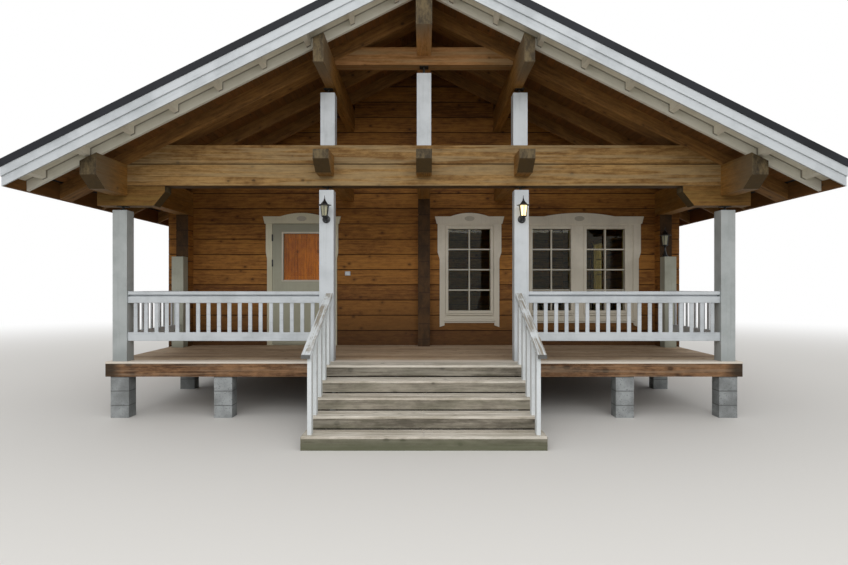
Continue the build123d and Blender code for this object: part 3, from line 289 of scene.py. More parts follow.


# %% [markdown]
# Where hands rub the stair rails, paint has gone from the top in streaks and grey wood shows,
# and the front end of each rail is darker. Bare patches could be faces with a material
# of their own, but their edges would be straight, so a mask of three steps chooses where the
# paint has gone: on top, along the strokes, and in patches.

# %% Rubbed handrail
def wear_rail(tree, place, sides, strokes, clouds, tone, wood, end_y):
    """Rub a rail bare on top and darken its front end at end_y. Gives the colour and height."""
    up = add_node(tree, "SeparateXYZ", place.outputs["Normal"]).outputs["Z"]
    bare = 1
    for value, low, high in ((up, 0.5, 0.8), (strokes, 0.41, 0.55), (clouds, 0.39, 0.53)):
        bare = add_node(tree, "MapRange", value, low, high, 0, bare, interpolation_type="SMOOTHSTEP")
    streaked = add_node(tree, "Mix", strokes, "#6a6254", wood, data_type="RGBA")
    tone = add_node(tree, "Mix", bare, tone, streaked, data_type="RGBA")
    # The front end of each rail is painted darker over its last few centimetres.
    tone, _ = lay_over(tree, tone, "#3c3a34", 0.9, sides["Y"], end_y + 0.03, end_y + 0.005)
    return tone, add_node(tree, "Math", bare, -0.4, strokes, operation="MULTIPLY_ADD")


# %% [markdown]
# Painted wood is satin white or cream. A plain even white would look like plastic, so brush
# strokes and raised grain show as fine streaks of about 20 mm, rain leaves grey films, and
# the feet of the posts are splashed with dirt. On the window and door trim the same greyer
# film below the headers is painted shade, and a dark line where a soffit meets its rafter is
# a painted shadow.

# %% Paint
def paint(name, grain, colour, film, rough=0.5, film_share=0.5, dirt_and_shade_below=None, worn=None, shadow_line=None):
    """Brushed paint on wood. dirt_and_shade_below is (height, reach) of a greyer film below a
    height: dirt at the feet of the posts, painted shade on the window and door trim. worn is
    (wood, y) of a handrail rubbed bare on top and darker at its front end, and shadow_line is
    (axis, middle, half width) of a painted shadow line where the boards meet the next timber."""
    material, tree, shader = start_material(name, Roughness=rough, Specular_IOR_Level=0.35)
    place = add_node(tree, "TexCoord")
    sides = add_node(tree, "SeparateXYZ", place.outputs["Object"]).outputs
    along = add_node(tree, "Mapping", place.outputs["Object"], Rotation=GRAIN_TURNS[grain])
    strokes = draw_grain(tree, along, long=0.667, wide=0.0222, Detail=4, Roughness=0.6)
    clouds = add_node(tree, "TexNoise", along, Scale=1 / 0.455, Detail=5, Roughness=0.65)
    share = 0
    for pattern, low, high, most in ((clouds, 0.4, 0.75, film_share), (strokes, 0.5, 0.8, film_share * 0.6)):
        more = add_node(tree, "MapRange", pattern, low, high, 0, most, interpolation_type="SMOOTHSTEP")
        share = add_node(tree, "Math", more, share, operation="ADD")
    # Below a height the film thickens: dirt on the posts, painted shade on the window and door trim.
    if dirt_and_shade_below:
        foot, reach = dirt_and_shade_below
        up = add_node(tree, "Math", clouds, reach, sides["Z"], operation="MULTIPLY_ADD")
        dirt_and_shade_film = add_node(tree, "MapRange", up, foot + reach * 1.4, foot + reach * 0.4, 0, 0.7,
                        interpolation_type="SMOOTHSTEP")
        share = add_node(tree, "Math", share, dirt_and_shade_film, operation="MAXIMUM")
    tone = add_node(tree, "Mix", share, colour, film, data_type="RGBA")
    height = strokes
    # A painted shadow line, darker where the boards meet the next timber.
    if shadow_line:
        axis, middle, half = shadow_line
        away = add_node(tree, "Math", sides[axis.upper()], middle, operation="SUBTRACT")
        away = add_node(tree, "Math", away, operation="ABSOLUTE")
        tone, shadow_mask = lay_over(tree, tone, "#5f5545", 0.8, away, half, half / 2)
        height = add_node(tree, "Math", strokes, shadow_mask, operation="SUBTRACT")
    if worn:
        tone, height = wear_rail(tree, place, sides, strokes, clouds, tone, *worn)
    dress(tree, shader, tone, height, 0.35, 0.002)
    return material


# %% [markdown]
# ## The cabin's woods and paints
# The walls are planed spruce logs with a brown glaze: warm and satin, and painted darker towards
# the foot, as shade. The porch beams are the same wood, but sun and rain have bleached them. Roof timbers
# are darker, because the eaves shade them. A glaze could be a clear coat over bare wood, but
# it has soaked in and dulled, so it only colours the wood.

# %% Log walls and beams
# The last entry of LOGS is painted shade: the walls darken from 2.3 m down to 0.55 m.
LOGS = {"light": "#aa7434", "dark": "#643b16", "knot": "#2a180b", "contrast": 1.25, "seam": 0.011,
        "end": ("#33220f", "#4f361b", "#4b3218"), "weather_and_shade": ("z", 2.3, 0.55, "#3f2811")}
BEAMS = {"light": "#a5824f", "dark": "#694920", "knot": "#2b1a0b", "contrast": 1.35,
         "end": ("#382f22", "#6d5e43", "#57421f"), "grey": ("#958463", 0.5)}
ROOF = {"light": "#a3763f", "dark": "#6c4b27", "knot": "#22140a", "contrast": 1.2, "stain": ("#5c4020", 0.4)}
ROOF_BOARD_WIDE = 0.0955
PORCH_EDGE = POST_FRONT_Y - 0.05
# The courses that run across lie half a course above those that run along.
log_across = timber("glazed_spruce_logs_across", "x", stack=("z", LOG_FOOT_Z + COURSE / 2, COURSE), **LOGS)
log_along = timber("glazed_spruce_logs_along", "y", stack=("z", LOG_FOOT_Z, COURSE), **LOGS)
tie_logs = timber("weathered_spruce_tie_logs", "x", stack=("z", TIE_SEAM_Z - TIE_COURSE, TIE_COURSE),
                  seam=0.01, **BEAMS)
corbel_wood = timber("glazed_spruce_corbels", "x",
                     **{**BEAMS, "light": "#866230", "dark": "#5a3d14", "grey": ("#76602f", 0.4)})
collar_wood = timber("sheltered_spruce_collar_beam", "x", **{**BEAMS, "light": "#ae7f50", "dark": "#7f582b"})
beam_along = timber("weathered_spruce_beam_along", "y",
                    weather_and_shade=("y", PORCH_EDGE + 0.1, PORCH_EDGE - 0.7, "#6e6350"),
                    **{**BEAMS, "light": "#a67536", "dark": "#73501f", "grey": ("#8a7347", 0.3)})
ridge_wood = timber("sheltered_spruce_ridge_purlin", "y",
                    weather_and_shade=("y", PORCH_EDGE - 0.3, PORCH_EDGE - 1.0, "#857a68"),
                    **{**BEAMS, "light": "#c79055", "dark": "#8d602c", "grey": ("#a0835b", 0.3)})
rafter_left = timber("glazed_rafter_left", "left", **ROOF)
rafter_right = timber("glazed_rafter_right", "right", **ROOF)
roof_board = timber("glazed_roof_boards", "y", stack=("x", 0, ROOF_BOARD_WIDE * math.cos(ROOF_ANGLE)),
                    **{**ROOF, "light": "#85572a"})

# %% [markdown]
# Feet and rain take the stain off a deck, so its boards are pale, dull and grey in streaks,
# palest at the outer edge. The treads lie in the open and have bleached to silver, and the
# risers and stringers under them stay damp and dark. The floor inside is lacquered pine, and
# shines.

# %% Deck, stairs and floor
DECK_PITCH = 0.125
RIM_END_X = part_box("rim_beam")[1].x
deck_wood = timber("worn_brown_decking", "x", "#c9b092", "#876d53", "#3a2c20", rough=0.8,
                   stack=("y", DECK_LOW.y, DECK_PITCH), grey=("#bbb09f", 0.4),
                   weather_and_shade=("y", DECK_LOW.y + 0.3, DECK_LOW.y + 0.05, "#e6ded2"))
rim_wood = timber("brown_rim_beam", "x", "#967150", "#4f3725", "#1f1209", rough=0.8, knot_size=0.2,
                  end=("#2b231a", "#4a3d2f", "#3a2e22"), grey=("#8a7c6a", 0.4), contrast=1.7,
                  weather_and_shade=("x", RIM_END_X - 0.24, RIM_END_X - 0.08, "#2d261d"))
joist_wood = timber("rough_sawn_joists", "y", "#5d4730", "#3a2a1b", "#20140b", rough=0.85)
tread_wood = timber("sun_bleached_treads", "x", "#dcd4c7", "#a39a8a", "#544b3e", rough=0.85,
                    stack=("y", POST_FRONT_Y - STAIR_REACH, GOING / 2), end=("#5b5345", "#8b8474", "#767063"),
                    grey=("#e4dfd4", 0.5), stain=("#9a937f", 0.4), contrast=1.2)
riser_wood = timber("weathered_risers", "x", "#9b9486", "#605a50", "#1f1a13", rough=0.85, knot_size=0.16,
                    stack=("z", 0, RISE), end=("#4a4337", "#6a6355", "#5a5346"), grey=("#a6a194", 0.45),
                    stain=("#5b5c48", 0.3), weather_and_shade=("z", 0.22, 0.02, "#5d604a"), contrast=1.3)
stringer_wood = timber("damp_stair_stringers", "stair", "#5c5446", "#383127", "#241e16", rough=0.85)
floor_wood = timber("lacquered_pine_floor", "y", "#b98a55", "#8f6336", "#4f3117", rough=0.4,
                    stack=("x", 0, 0.12), seam=0.003)
pine = timber("varnished_pine_panel", "z", "#ff9a12", "#b85f04", "#6a3208", rough=0.4, contrast=1.3)

# %% [markdown]
# The white paint is the same everywhere, but the corner and low posts are painted greyer as
# shade, so are the window and door trim below their headers, and what the porch shelters
# has yellowed. The verge rafters and the soffits beside them are cream. One white for all
# could be left to the light, but here the shade is painted into the white, so each place has its own.

# %% White and cream paint
WHITE, WHITE_FILM = "#cbd0d4", "#989ea1"
RAIL_END_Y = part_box("stair_railing_left")[0].y
VERGE_RAFTER_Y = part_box("verge_rafters_left")[0].y
whites = {g: paint("white_paint_grain_" + g, g, WHITE, WHITE_FILM) for g in ("x", "y", "z", "left", "right")}
white_post = paint("white_paint_on_middle_posts", "z", WHITE, WHITE_FILM, dirt_and_shade_below=(DECK_HIGH.z, 0.3),
                   film_share=0.35)
# Painted shade: the corner posts get a greyer white and more grey film.
corner_white = paint("white_paint_shaded_grey_on_corner_posts", "z", "#b3b8b8", "#898f8e",
                     dirt_and_shade_below=(DECK_HIGH.z, 0.35), film_share=0.6)
# Painted shade: the low posts get a darker, grey-green white.
low_white = paint("white_paint_shaded_on_low_posts", "z", "#a9aa9c", "#7d7f70", dirt_and_shade_below=(DECK_HIGH.z, 0.2))
white_stair = paint("worn_white_paint_on_stair_rail", "stair", "#dde2e4", "#abb1b3", dirt_and_shade_below=(0, 0.3),
                    worn=("#b3ab9d", RAIL_END_Y))
cream_faces = {g: paint("cream_paint_on_verge_rafters_" + g, g, "#efede2", "#c4c1b1", film_share=0.3)
               for g in ("left", "right")}
# The soffits carry a painted shadow line where they meet the verge rafter.
cream_soffits = {g: paint("cream_paint_on_soffit_boards_" + g, g, "#f4efe0", "#cfc8b4",
                          shadow_line=("y", VERGE_RAFTER_Y, 0.04)) for g in ("left", "right")}
# Painted shade: the window and door trim turns greyer from about 2.5 m down, and the headers stay light.
trim_white = paint("white_trim_shaded_below_header", "z", "#e9e2d2", "#a9a292", film_share=0.3, dirt_and_shade_below=(2.0, 0.6))
door_trim = paint("cream_door_casing_shaded_below_header", "z", "#e4dfc6", "#a6a28a", film_share=0.3, dirt_and_shade_below=(2.0, 0.6))
# Painted shade: the carvings get a darker white, so that their low relief shows.
carved_white = paint("white_paint_darkened_as_shade_on_carvings", "x", "#c9c3b4", "#a29b8c")
door_white = paint("grey_white_door_paint", "z", "#a3a28f", "#83826f", rough=0.4, film_share=0.3)

# %% [markdown]
# ## Concrete, roofing, metal and glass
# The piers are cast concrete blocks: pale grey and matt, with pores and grit, and a mortar
# joint every 190 mm. The pores are drawn 17 mm wide, because real ones are too fine to show.
# Joints could be cut in the solids, but they are flush and only darker, so the height above
# ground, folded back and forth at each joint, draws them.

# %% Concrete
BLOCK_HIGH, FIRST_JOINT_Z = 0.19, 0.17


def concrete():
    """Cast blocks with mortar joints, pores and stains."""
    material, tree, shader = start_material("cast_concrete_blocks", Roughness=0.92)
    place = add_node(tree, "TexCoord").outputs["Object"]
    grit = add_node(tree, "TexNoise", place, Scale=1 / 0.0167, Detail=4)
    stains = add_node(tree, "TexNoise", place, Scale=1 / 0.25, Detail=5)
    colour, _ = lay_over(tree, "#7d8080", "#a6aaab", 1, stains, 0.35, 0.7)
    colour, _ = lay_over(tree, colour, "#6c6e6e", 1, grit, 0.55, 0.75)
    up = add_node(tree, "SeparateXYZ", place).outputs["Z"]
    up = add_node(tree, "Math", stains, 0.01, up, operation="MULTIPLY_ADD")
    up = add_node(tree, "Math", up, FIRST_JOINT_Z, operation="SUBTRACT")
    away = add_node(tree, "Math", up, BLOCK_HIGH / 2, operation="PINGPONG")
    colour, joints = lay_over(tree, colour, "#4b4c4b", 0.6, away, 0.009, 0.004)
    height = add_node(tree, "Math", grit, joints, operation="SUBTRACT")
    dress(tree, shader, colour, height, 0.6, 0.006)
    return material


concrete_blocks = concrete()

# %% [markdown]
# One function serves the coated roof, the lanterns' enamel and galvanised steel, since each
# is a smooth skin with a faint mottle of two tones. They differ in how they shine and in the
# size of the mottle.

# %% Coated and bare metal
def metal(name, light, dark, rough, metallic=1.0, blot=0.025, **settings):
    """Metal or a coat on it, mottled in two tones; blot is the size of one patch."""
    material, tree, shader = start_material(name, Metallic=metallic, Roughness=rough, **settings)
    place = add_node(tree, "TexCoord").outputs["Object"]
    mottle = add_node(tree, "TexNoise", place, Scale=1 / blot, Detail=5)
    colour, _ = lay_over(tree, dark, light, 1, mottle, 0.35, 0.65)
    dress(tree, shader, colour, mottle, 0.2, 0.0005)
    return material


# A matt polyester coat: not metallic to the eye, with metre-wide clouds of dust.
roof_sheet = metal("matt_charcoal_coated_steel", "#22242a", "#15171b", 0.6, metallic=0, blot=0.769,
                   Specular_IOR_Level=0.25)
# Enamelled cast aluminium: a thick black coat with a soft shine.
black_metal = metal("black_enamelled_aluminium", "#1d1f21", "#0e0f10", 0.35, metallic=0)
# Hot-dip galvanised steel: grey, with a faint spangle.
steel = metal("galvanised_steel", "#8b8e90", "#63666a", 0.4, blot=0.0111)
# The same zinc after years outdoors: dull and dark.
old_steel = metal("dulled_galvanised_steel", "#4c4943", "#2a2824", 0.65, blot=0.0167)

# %% [markdown]
# Window glass is mirror smooth. Real float glass has an IOR of 1.5, but in a white studio it
# would mirror mostly white and hide what is behind it, so its IOR is lower here. A lantern's
# panes are cream glass with seeds in it, and a lit lantern's panes glow. A bulb inside could
# light them, but glowing panes give the same look with less noise.

# %% Glass
def pane_glass(name, light, dark, wave, **settings):
    """Smooth glass with a slight change of tint and a wavy surface; wave is the size of a wave."""
    material, tree, shader = start_material(name, **settings)
    place = add_node(tree, "TexCoord").outputs["Object"]
    waves = add_node(tree, "TexNoise", place, Scale=1 / wave, Detail=2)
    colour = add_node(tree, "Mix", waves, dark, light, data_type="RGBA")
    dress(tree, shader, colour, waves, 0.05, 0.002)
    return material


glass = pane_glass("float_glass", "#ece3b4", "#d6cd96", 0.333, Roughness=0.02, IOR=1.25,
                   Transmission_Weight=1.0)
lantern_glass = pane_glass("cream_lantern_glass", "#d8d4b4", "#a9a687", 0.0167, Roughness=0.25,
                           Transmission_Weight=0.3)
lit_glass = pane_glass("lit_lantern_glass", "#fff0c8", "#ffe4a8", 0.0167, Roughness=0.3,
                       Emission_Color="#ffdf9e", Emission_Strength=1.8)

# %% [markdown]
# ## Finishes on the solids
# A table says which finish each solid takes, so that a look can be changed in one line. The
# solids keep their meshes.

# %% Give every solid its finish
finishes = {
    log_across: ("front_wall_left", "front_wall_right", "front_gable", "back_wall", "door_sill"),
    log_along: ("side_wall_left", "side_wall_right", "middle_log_ends"),
    tie_logs: ("tie_beam_lower", "tie_beam_upper"),
    corbel_wood: ("corbels",),
    collar_wood: ("collar_beam",),
    beam_along: ("plate_logs", "porch_ties", "slope_purlins"),
    ridge_wood: ("ridge_purlin",),
    rafter_left: ("rafters_left",),
    rafter_right: ("rafters_right",),
    roof_board: ("roof_boards_left", "roof_boards_right", "eave_fascias"),
    deck_wood: ("deck_boards",),
    rim_wood: ("rim_beam",),
    joist_wood: ("deck_joists",),
    tread_wood: ("stair_treads",),
    riser_wood: ("stair_risers",),
    stringer_wood: ("stair_stringers",),
    floor_wood: ("house_floor",),
    whites["x"]: ("porch_railing_left", "porch_railing_right"),
    whites["y"]: ("side_railings",),
    whites["left"]: ("barge_boards_left",),
    whites["right"]: ("barge_boards_right",),
    white_post: ("middle_posts",),
    corner_white: ("corner_posts",),
    low_white: ("low_wall_posts",),
    whites["z"]: ("gable_posts",),
    trim_white: ("front_windows", "back_window", "side_windows"),
    door_trim: ("door_frame",),
    white_stair: ("stair_railing_left", "stair_railing_right"),
    cream_faces["left"]: ("verge_rafters_left",),
    cream_faces["right"]: ("verge_rafters_right",),
    cream_soffits["left"]: ("verge_soffit_left",),
    cream_soffits["right"]: ("verge_soffit_right",),
    door_white: ("door_leaf",),
    concrete_blocks: ("foundation_piers",),
    roof_sheet: ("roof_covering_left", "roof_covering_right", "ridge_cap"),
    glass: ("window_glass", "door_glass"),
    black_metal: ("lanterns",),
    steel: ("door_handle",),
    old_steel: ("post_jacks",),
}
for finish, names in finishes.items():
    for name in names:
        nodes[name].data.materials.clear()
        nodes[name].data.materials.append(finish)
print("finished solids", sum(len(names) for names in finishes.values()), "of", len(nodes))

# %% [markdown]
# ## Making pieces
# Most of what a carpenter adds is a straight bar with eased edges. It starts as a cube, is
# stretched between two corners and bevelled, as a plane takes off a sharp edge. Four bars
# make a frame round an opening, with its stiles from end to end and its rails between them.

# %% Bars and frames
def add_bar(mesh, low, high, edge, turn=Matrix.Identity(4)):
    """Square bar between two corners with its edges eased."""
    low, high = Vector(low), Vector(high)
    place = turn @ Matrix.Translation((low + high) / 2) @ Matrix.Diagonal((*(high - low), 1))
    made = bmesh.ops.create_cube(mesh, size=1, matrix=place)
    edges = {e for v in made["verts"] for e in v.link_edges}
    bmesh.ops.bevel(mesh, geom=list(edges), offset=edge, segments=1, profile=0.5, affect="EDGES", material=-1)


def add_frame(mesh, low, high, wide, front, back, edge, turn=Matrix.Identity(4)):
    """Stiles and rails of one width round an opening between two (x, z) corners."""
    (left, bottom), (right, top) = low, high
    for bar_low, bar_high in (
        ((left - wide, bottom - wide), (left, top + wide)),
        ((right, bottom - wide), (right + wide, top + wide)),
        ((left, bottom - wide), (right, bottom)),
        ((left, top), (right, top + wide)),
    ):
        add_bar(mesh, (bar_low[0], front, bar_low[1]), (bar_high[0], back, bar_high[1]), edge, turn)


# %% [markdown]
# A turned shape is an outline that is spun round an axis, as on a lathe: in few steps it has
# flat sides, in many it is round. When a piece is whole, its normals are made to point
# outwards, and it gets its finish and the body on which it rides.

# %% Turned shapes and finished pieces
def add_turned(mesh, outline, centre, axis=(0, 0, 1), side=(0, -1, 0), steps=20):
    """Spin an outline of (radius, height) points round an axis; both its ends lie on the axis."""
    centre, axis, side = Vector(centre), Vector(axis), Vector(side)
    points = [mesh.verts.new(centre + side * radius + axis * height) for radius, height in outline]
    edges = [mesh.edges.new(pair) for pair in zip(points, points[1:])]
    bmesh.ops.spin(mesh, geom=points + edges, cent=centre, axis=axis, angle=2 * math.pi, steps=steps,
                   use_merge=True)
    bmesh.ops.remove_doubles(mesh, verts=mesh.verts, dist=0.0001)


def finish_piece(mesh, name, finish, body="house"):
    """Turn a bmesh into an object that rides on a body."""
    bmesh.ops.recalc_face_normals(mesh, faces=mesh.faces)
    data = bpy.data.meshes.new(name)
    mesh.to_mesh(data)
    mesh.free()
    data.materials.append(finish)
    piece = bpy.data.objects.new(name, data)
    bpy.context.scene.collection.objects.link(piece)
    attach(piece, body)
    print(name, len(data.polygons), "faces")
    return piece


# %% [markdown]
# ## Roof boards and roof sheets
# From below, the roof shows narrow boards laid along the cabin on the rafters. Dark lines on
# the slab could stand for their gaps, but the boards end in the open at the gable, so each is
# a bar. They stand for the slab in the solids.

# %% Roof boards
BOARD_LOW, BOARD_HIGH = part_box("roof_boards_right")
ROOF_BOARD_THICK = 0.025 * math.cos(ROOF_ANGLE)
ROOF_BOARD_GAP, RIDGE_GAP = 0.002, 0.012
slope_long = BOARD_HIGH.x / math.cos(ROOF_ANGLE)
for side, name in ((-1, "left"), (1, "right")):
    boards = bmesh.new()
    turn = Matrix.Translation((0, 0, BOARD_HIGH.z)) @ Matrix.Rotation(side * ROOF_ANGLE, 4, "Y")
    for number in range(int(slope_long / ROOF_BOARD_WIDE)):
        near = RIDGE_GAP + number * ROOF_BOARD_WIDE
        far = min(near + ROOF_BOARD_WIDE, slope_long) - ROOF_BOARD_GAP
        x_low, x_high = sorted((side * near, side * far))
        add_bar(boards, (x_low, BOARD_LOW.y, -ROOF_BOARD_THICK), (x_high, BOARD_HIGH.y, 0), 0.004, turn)
    piece = finish_piece(boards, "roof_planks_" + name, roof_board)
    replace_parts(piece, "roof_boards_" + name)

# %% [markdown]
# From above, the roof is steel sheet with a standing seam every 480 mm, where the edges of
# two sheets are folded together. Each seam is a thin upright bar that runs down the slope and
# is let into the sheet, so that no gap shows under it.

# %% Standing seams
COVER_LOW, COVER_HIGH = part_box("roof_covering_right")
SEAM_PITCH, SEAM_HIGH, SEAM_WIDE, SEAM_LET_IN, VERGE_CLEAR = 0.48, 0.022, 0.01, 0.004, 0.15
SEAM_TOP, SEAM_FOOT = 0.19, COVER_HIGH.x / math.cos(ROOF_ANGLE) - 0.02
seams = bmesh.new()
seam_count = int((COVER_HIGH.y - COVER_LOW.y - 2 * VERGE_CLEAR) / SEAM_PITCH) + 1
first_seam = (COVER_LOW.y + COVER_HIGH.y - (seam_count - 1) * SEAM_PITCH) / 2
for side in (-1, 1):
    turn = Matrix.Translation((0, 0, COVER_HIGH.z)) @ Matrix.Rotation(side * ROOF_ANGLE, 4, "Y")
    x_low, x_high = sorted((side * SEAM_TOP, side * SEAM_FOOT))
    for number in range(seam_count):
        near = first_seam + number * SEAM_PITCH - SEAM_WIDE / 2
        add_bar(seams, (x_low, near, -SEAM_LET_IN), (x_high, near + SEAM_WIDE, SEAM_HIGH), 0.002, turn)
finish_piece(seams, "roof_standing_seams", roof_sheet)

# %% [markdown]
# ## Windows
# Each window has painted sashes with a moulded edge. Narrow bars divide every light into two
# by four panes, a sill throws the rain off, and the casing boards end in a foot cut at a
# slant. Five windows could be copies of one object, but the double one differs in width, so
# one pattern is made at the origin, and each window gives its place, turn, width and lights.

# %% Window places
CASING_LOW, CASING_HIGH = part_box("front_windows")
GLASS_LOW, GLASS_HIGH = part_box("window_glass")[0].z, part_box("window_glass")[1].z
SINGLE_WIDE, DOUBLE_WIDE = 0.850, 1.868
CASING_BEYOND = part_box("back_window")[1].x - SINGLE_WIDE / 2
SINGLE = (SINGLE_WIDE, (0,), 0.717)
DOUBLE = (DOUBLE_WIDE, (-0.461, 0.461), 0.655)
single_x = CASING_LOW.x + CASING_BEYOND + SINGLE_WIDE / 2
double_x = CASING_HIGH.x - CASING_BEYOND - DOUBLE_WIDE / 2
side_window_y = (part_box("side_windows")[0].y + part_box("side_windows")[1].y) / 2
windows = (
    ((single_x, FRONT_WALL_Y, 0), 0, *SINGLE),
    ((double_x, FRONT_WALL_Y, 0), 0, *DOUBLE),
    ((0, BACK_WALL_Y, 0), math.pi, *SINGLE),
    ((-SIDE_WALL_X, side_window_y, 0), -math.pi / 2, *SINGLE),
    ((SIDE_WALL_X, side_window_y, 0), math.pi / 2, *SINGLE),
)
print("window centres", [tuple(round(v, 3) for v in window[0]) for window in windows])

# %% [markdown]
# A small carved oval sits on each header. It could be sculpted, but it is a hand high and
# seen from afar, so three low cones, each smaller and prouder than the last, give its steps.
# The foot of a casing board is a cube with one lower edge lifted.

# %% Carved ovals and casing feet
HEADER_Z, HEADER_FRONT = CASING_HIGH.z - 0.096, -0.045
CASING_WIDE, CASING_THICK, FOOT_HIGH, FOOT_SLANT = 0.083, 0.025, 0.071, 0.03


def add_carving(mesh, turn):
    """Low carved oval on a header, with two smaller ones raised on it."""
    for wide, high, proud in ((0.085, 0.042, 0.006), (0.055, 0.028, 0.012), (0.022, 0.013, 0.018)):
        place = Matrix.Translation((0, HEADER_FRONT - proud / 2, HEADER_Z))
        stand = Matrix.Rotation(math.pi / 2, 4, "X") @ Matrix.Diagonal((wide, high, proud, 1))
        bmesh.ops.create_cone(mesh, cap_ends=True, segments=24, radius1=0.92, radius2=1.0, depth=1,
                              matrix=turn @ place @ stand)


def add_foot(mesh, turn, inner, outer):
    """End of a casing board below the window, cut at a slant."""
    middle = Vector(((inner + outer) / 2, -CASING_THICK / 2, CASING_LOW.z - FOOT_HIGH / 2))
    size = Matrix.Diagonal((abs(outer - inner), CASING_THICK, FOOT_HIGH, 1))
    made = bmesh.ops.create_cube(mesh, size=1, matrix=Matrix.Translation(middle) @ size)
    lifted = [v for v in made["verts"] if v.co.z < middle.z and abs(v.co.x - inner) < 0.001]
    bmesh.ops.translate(mesh, verts=lifted, vec=(0, 0, FOOT_SLANT))
    bmesh.ops.transform(mesh, matrix=turn, verts=made["verts"])


# %% [markdown]
# A sash is a frame of four bars that stands a little proud of the casing, with a lip under it
# that sheds the rain. The glazing bars could be one grid cut from a plate, but real ones are
# strips with moulded edges, so each is a bar of its own. Those that lie across are a hair
# thinner than the upright one, so that no two faces share a plane.

# %% Sashes, bars and sills
SASH_WIDE, SASH_PROUD = 0.05, 0.014
LIP_LOW, LIP_HIGH, LIP_OVER, LIP_PROUD = GLASS_LOW - 0.085, GLASS_LOW - 0.058, 0.03, 0.03
BAR_WIDE, BAR_FRONT, BAR_BACK, PANE_ROWS = 0.023, 0.02, 0.089, 4
SILL_LOW, SILL_HIGH, SILL_OVER, SILL_PROUD = CASING_LOW.z + 0.024, CASING_LOW.z + 0.059, 0.01, 0.05
sashes, bars, sills, carvings = bmesh.new(), bmesh.new(), bmesh.new(), bmesh.new()
for origin, angle, width, lights, light_wide in windows:
    turn = Matrix.Translation(origin) @ Matrix.Rotation(angle, 4, "Z")
    for middle in lights:
        left, right = middle - light_wide / 2, middle + light_wide / 2
        add_frame(sashes, (left, GLASS_LOW), (right, GLASS_HIGH), SASH_WIDE, -SASH_PROUD, 0.004, 0.005, turn)
        add_bar(sashes, (left - LIP_OVER, -LIP_PROUD, LIP_LOW), (right + LIP_OVER, 0, LIP_HIGH), 0.006, turn)
        add_bar(bars, (middle - BAR_WIDE / 2, BAR_FRONT, GLASS_LOW),
                (middle + BAR_WIDE / 2, BAR_BACK, GLASS_HIGH), 0.006, turn)
        for row in range(1, PANE_ROWS):
            z = GLASS_LOW + (GLASS_HIGH - GLASS_LOW) * row / PANE_ROWS
            add_bar(bars, (left, BAR_FRONT + 0.002, z - BAR_WIDE / 2),
                    (right, BAR_BACK - 0.001, z + BAR_WIDE / 2), 0.006, turn)
    sill_half = width / 2 + SILL_OVER
    add_bar(sills, (-sill_half, -SILL_PROUD, SILL_LOW), (sill_half, 0, SILL_HIGH), 0.006, turn)
    for side in (-1, 1):
        add_foot(sills, turn, side * width / 2, side * (width / 2 + CASING_WIDE))
    add_carving(carvings, turn)
door_x = (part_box("door_frame")[0].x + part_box("door_frame")[1].x) / 2
add_carving(carvings, Matrix.Translation((door_x, FRONT_WALL_Y, 0)))
finish_piece(sashes, "window_sashes", trim_white)
finish_piece(bars, "window_bars", trim_white)
finish_piece(sills, "window_sills", trim_white)
finish_piece(carvings, "header_carvings", carved_white)

# %% [markdown]
# ## Deck and stairs
# The deck is laid in boards across the porch, with narrow gaps that let rain through. Lines
# painted on a slab would stay flat at its front edge, so every board is a bar of its own.
# Beside the house the boards are cut round the ends of the side walls' logs.

# %% Deck boards
BOARD_GAP, LOG_CLEAR = 0.006, 0.004
LOG_TIP_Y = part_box("side_wall_left")[0].y
deck = bmesh.new()
rows = round((DECK_HIGH.y - DECK_LOW.y) / DECK_PITCH)
pitch = (DECK_HIGH.y - DECK_LOW.y) / rows
inner, outer = SIDE_WALL_X - LOG_THICK - LOG_CLEAR, SIDE_WALL_X + LOG_CLEAR
for row in range(rows):
    near = DECK_LOW.y + row * pitch
    spans = [(DECK_LOW.x, DECK_HIGH.x)]
    if near + pitch > LOG_TIP_Y:
        spans = [(DECK_LOW.x, -outer), (-inner, inner), (outer, DECK_HIGH.x)]
    for left, right in spans:
        add_bar(deck, (left, near, DECK_LOW.z), (right, near + pitch - BOARD_GAP, DECK_HIGH.z), 0.004)
deck_piece = finish_piece(deck, "deck_planks", deck_wood)
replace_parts(deck_piece, "deck_boards")

# %% [markdown]
# Each stair tread is two boards with a gap between them. The lowest is longer than the rest,
# and the top one ends at the porch. Two screws in each board hold it to each stringer, and
# their heads are small cones, since nothing else of a screw shows.

# %% Stair treads and screws
TREAD_LOW, TREAD_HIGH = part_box("stair_treads")
TREAD_DEEP, TREAD_THICK, TREAD_HALF, STRINGER_HALF = 0.32, 0.028, 1.25, 0.0225
STEP_COUNT, SCREW_IN = 5, 0.03
treads, screws = bmesh.new(), bmesh.new()
for number in range(STEP_COUNT):
    nose = TREAD_LOW.y + GOING * number
    top = RISE * (number + 1)
    half = TREAD_HIGH.x if number == 0 else TREAD_HALF
    back = nose + TREAD_DEEP if number < STEP_COUNT - 1 else TREAD_HIGH.y
    middle = (nose + back) / 2
    for near, far in ((nose, middle - BOARD_GAP / 2), (middle + BOARD_GAP / 2, back)):
        add_bar(treads, (-half, near, top - TREAD_THICK), (half, far, top), 0.004)
        for x in (-TREAD_HALF + STRINGER_HALF, 0, TREAD_HALF - STRINGER_HALF):
            for y in (near + SCREW_IN, far - SCREW_IN):
                place = Matrix.Translation((x, y, top + 0.0005))
                bmesh.ops.create_cone(screws, cap_ends=True, segments=8, radius1=0.005, radius2=0.004,
                                      depth=0.003, matrix=place)
tread_piece = finish_piece(treads, "tread_planks", tread_wood)
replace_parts(tread_piece, "stair_treads")
finish_piece(screws, "stair_screws", steel)

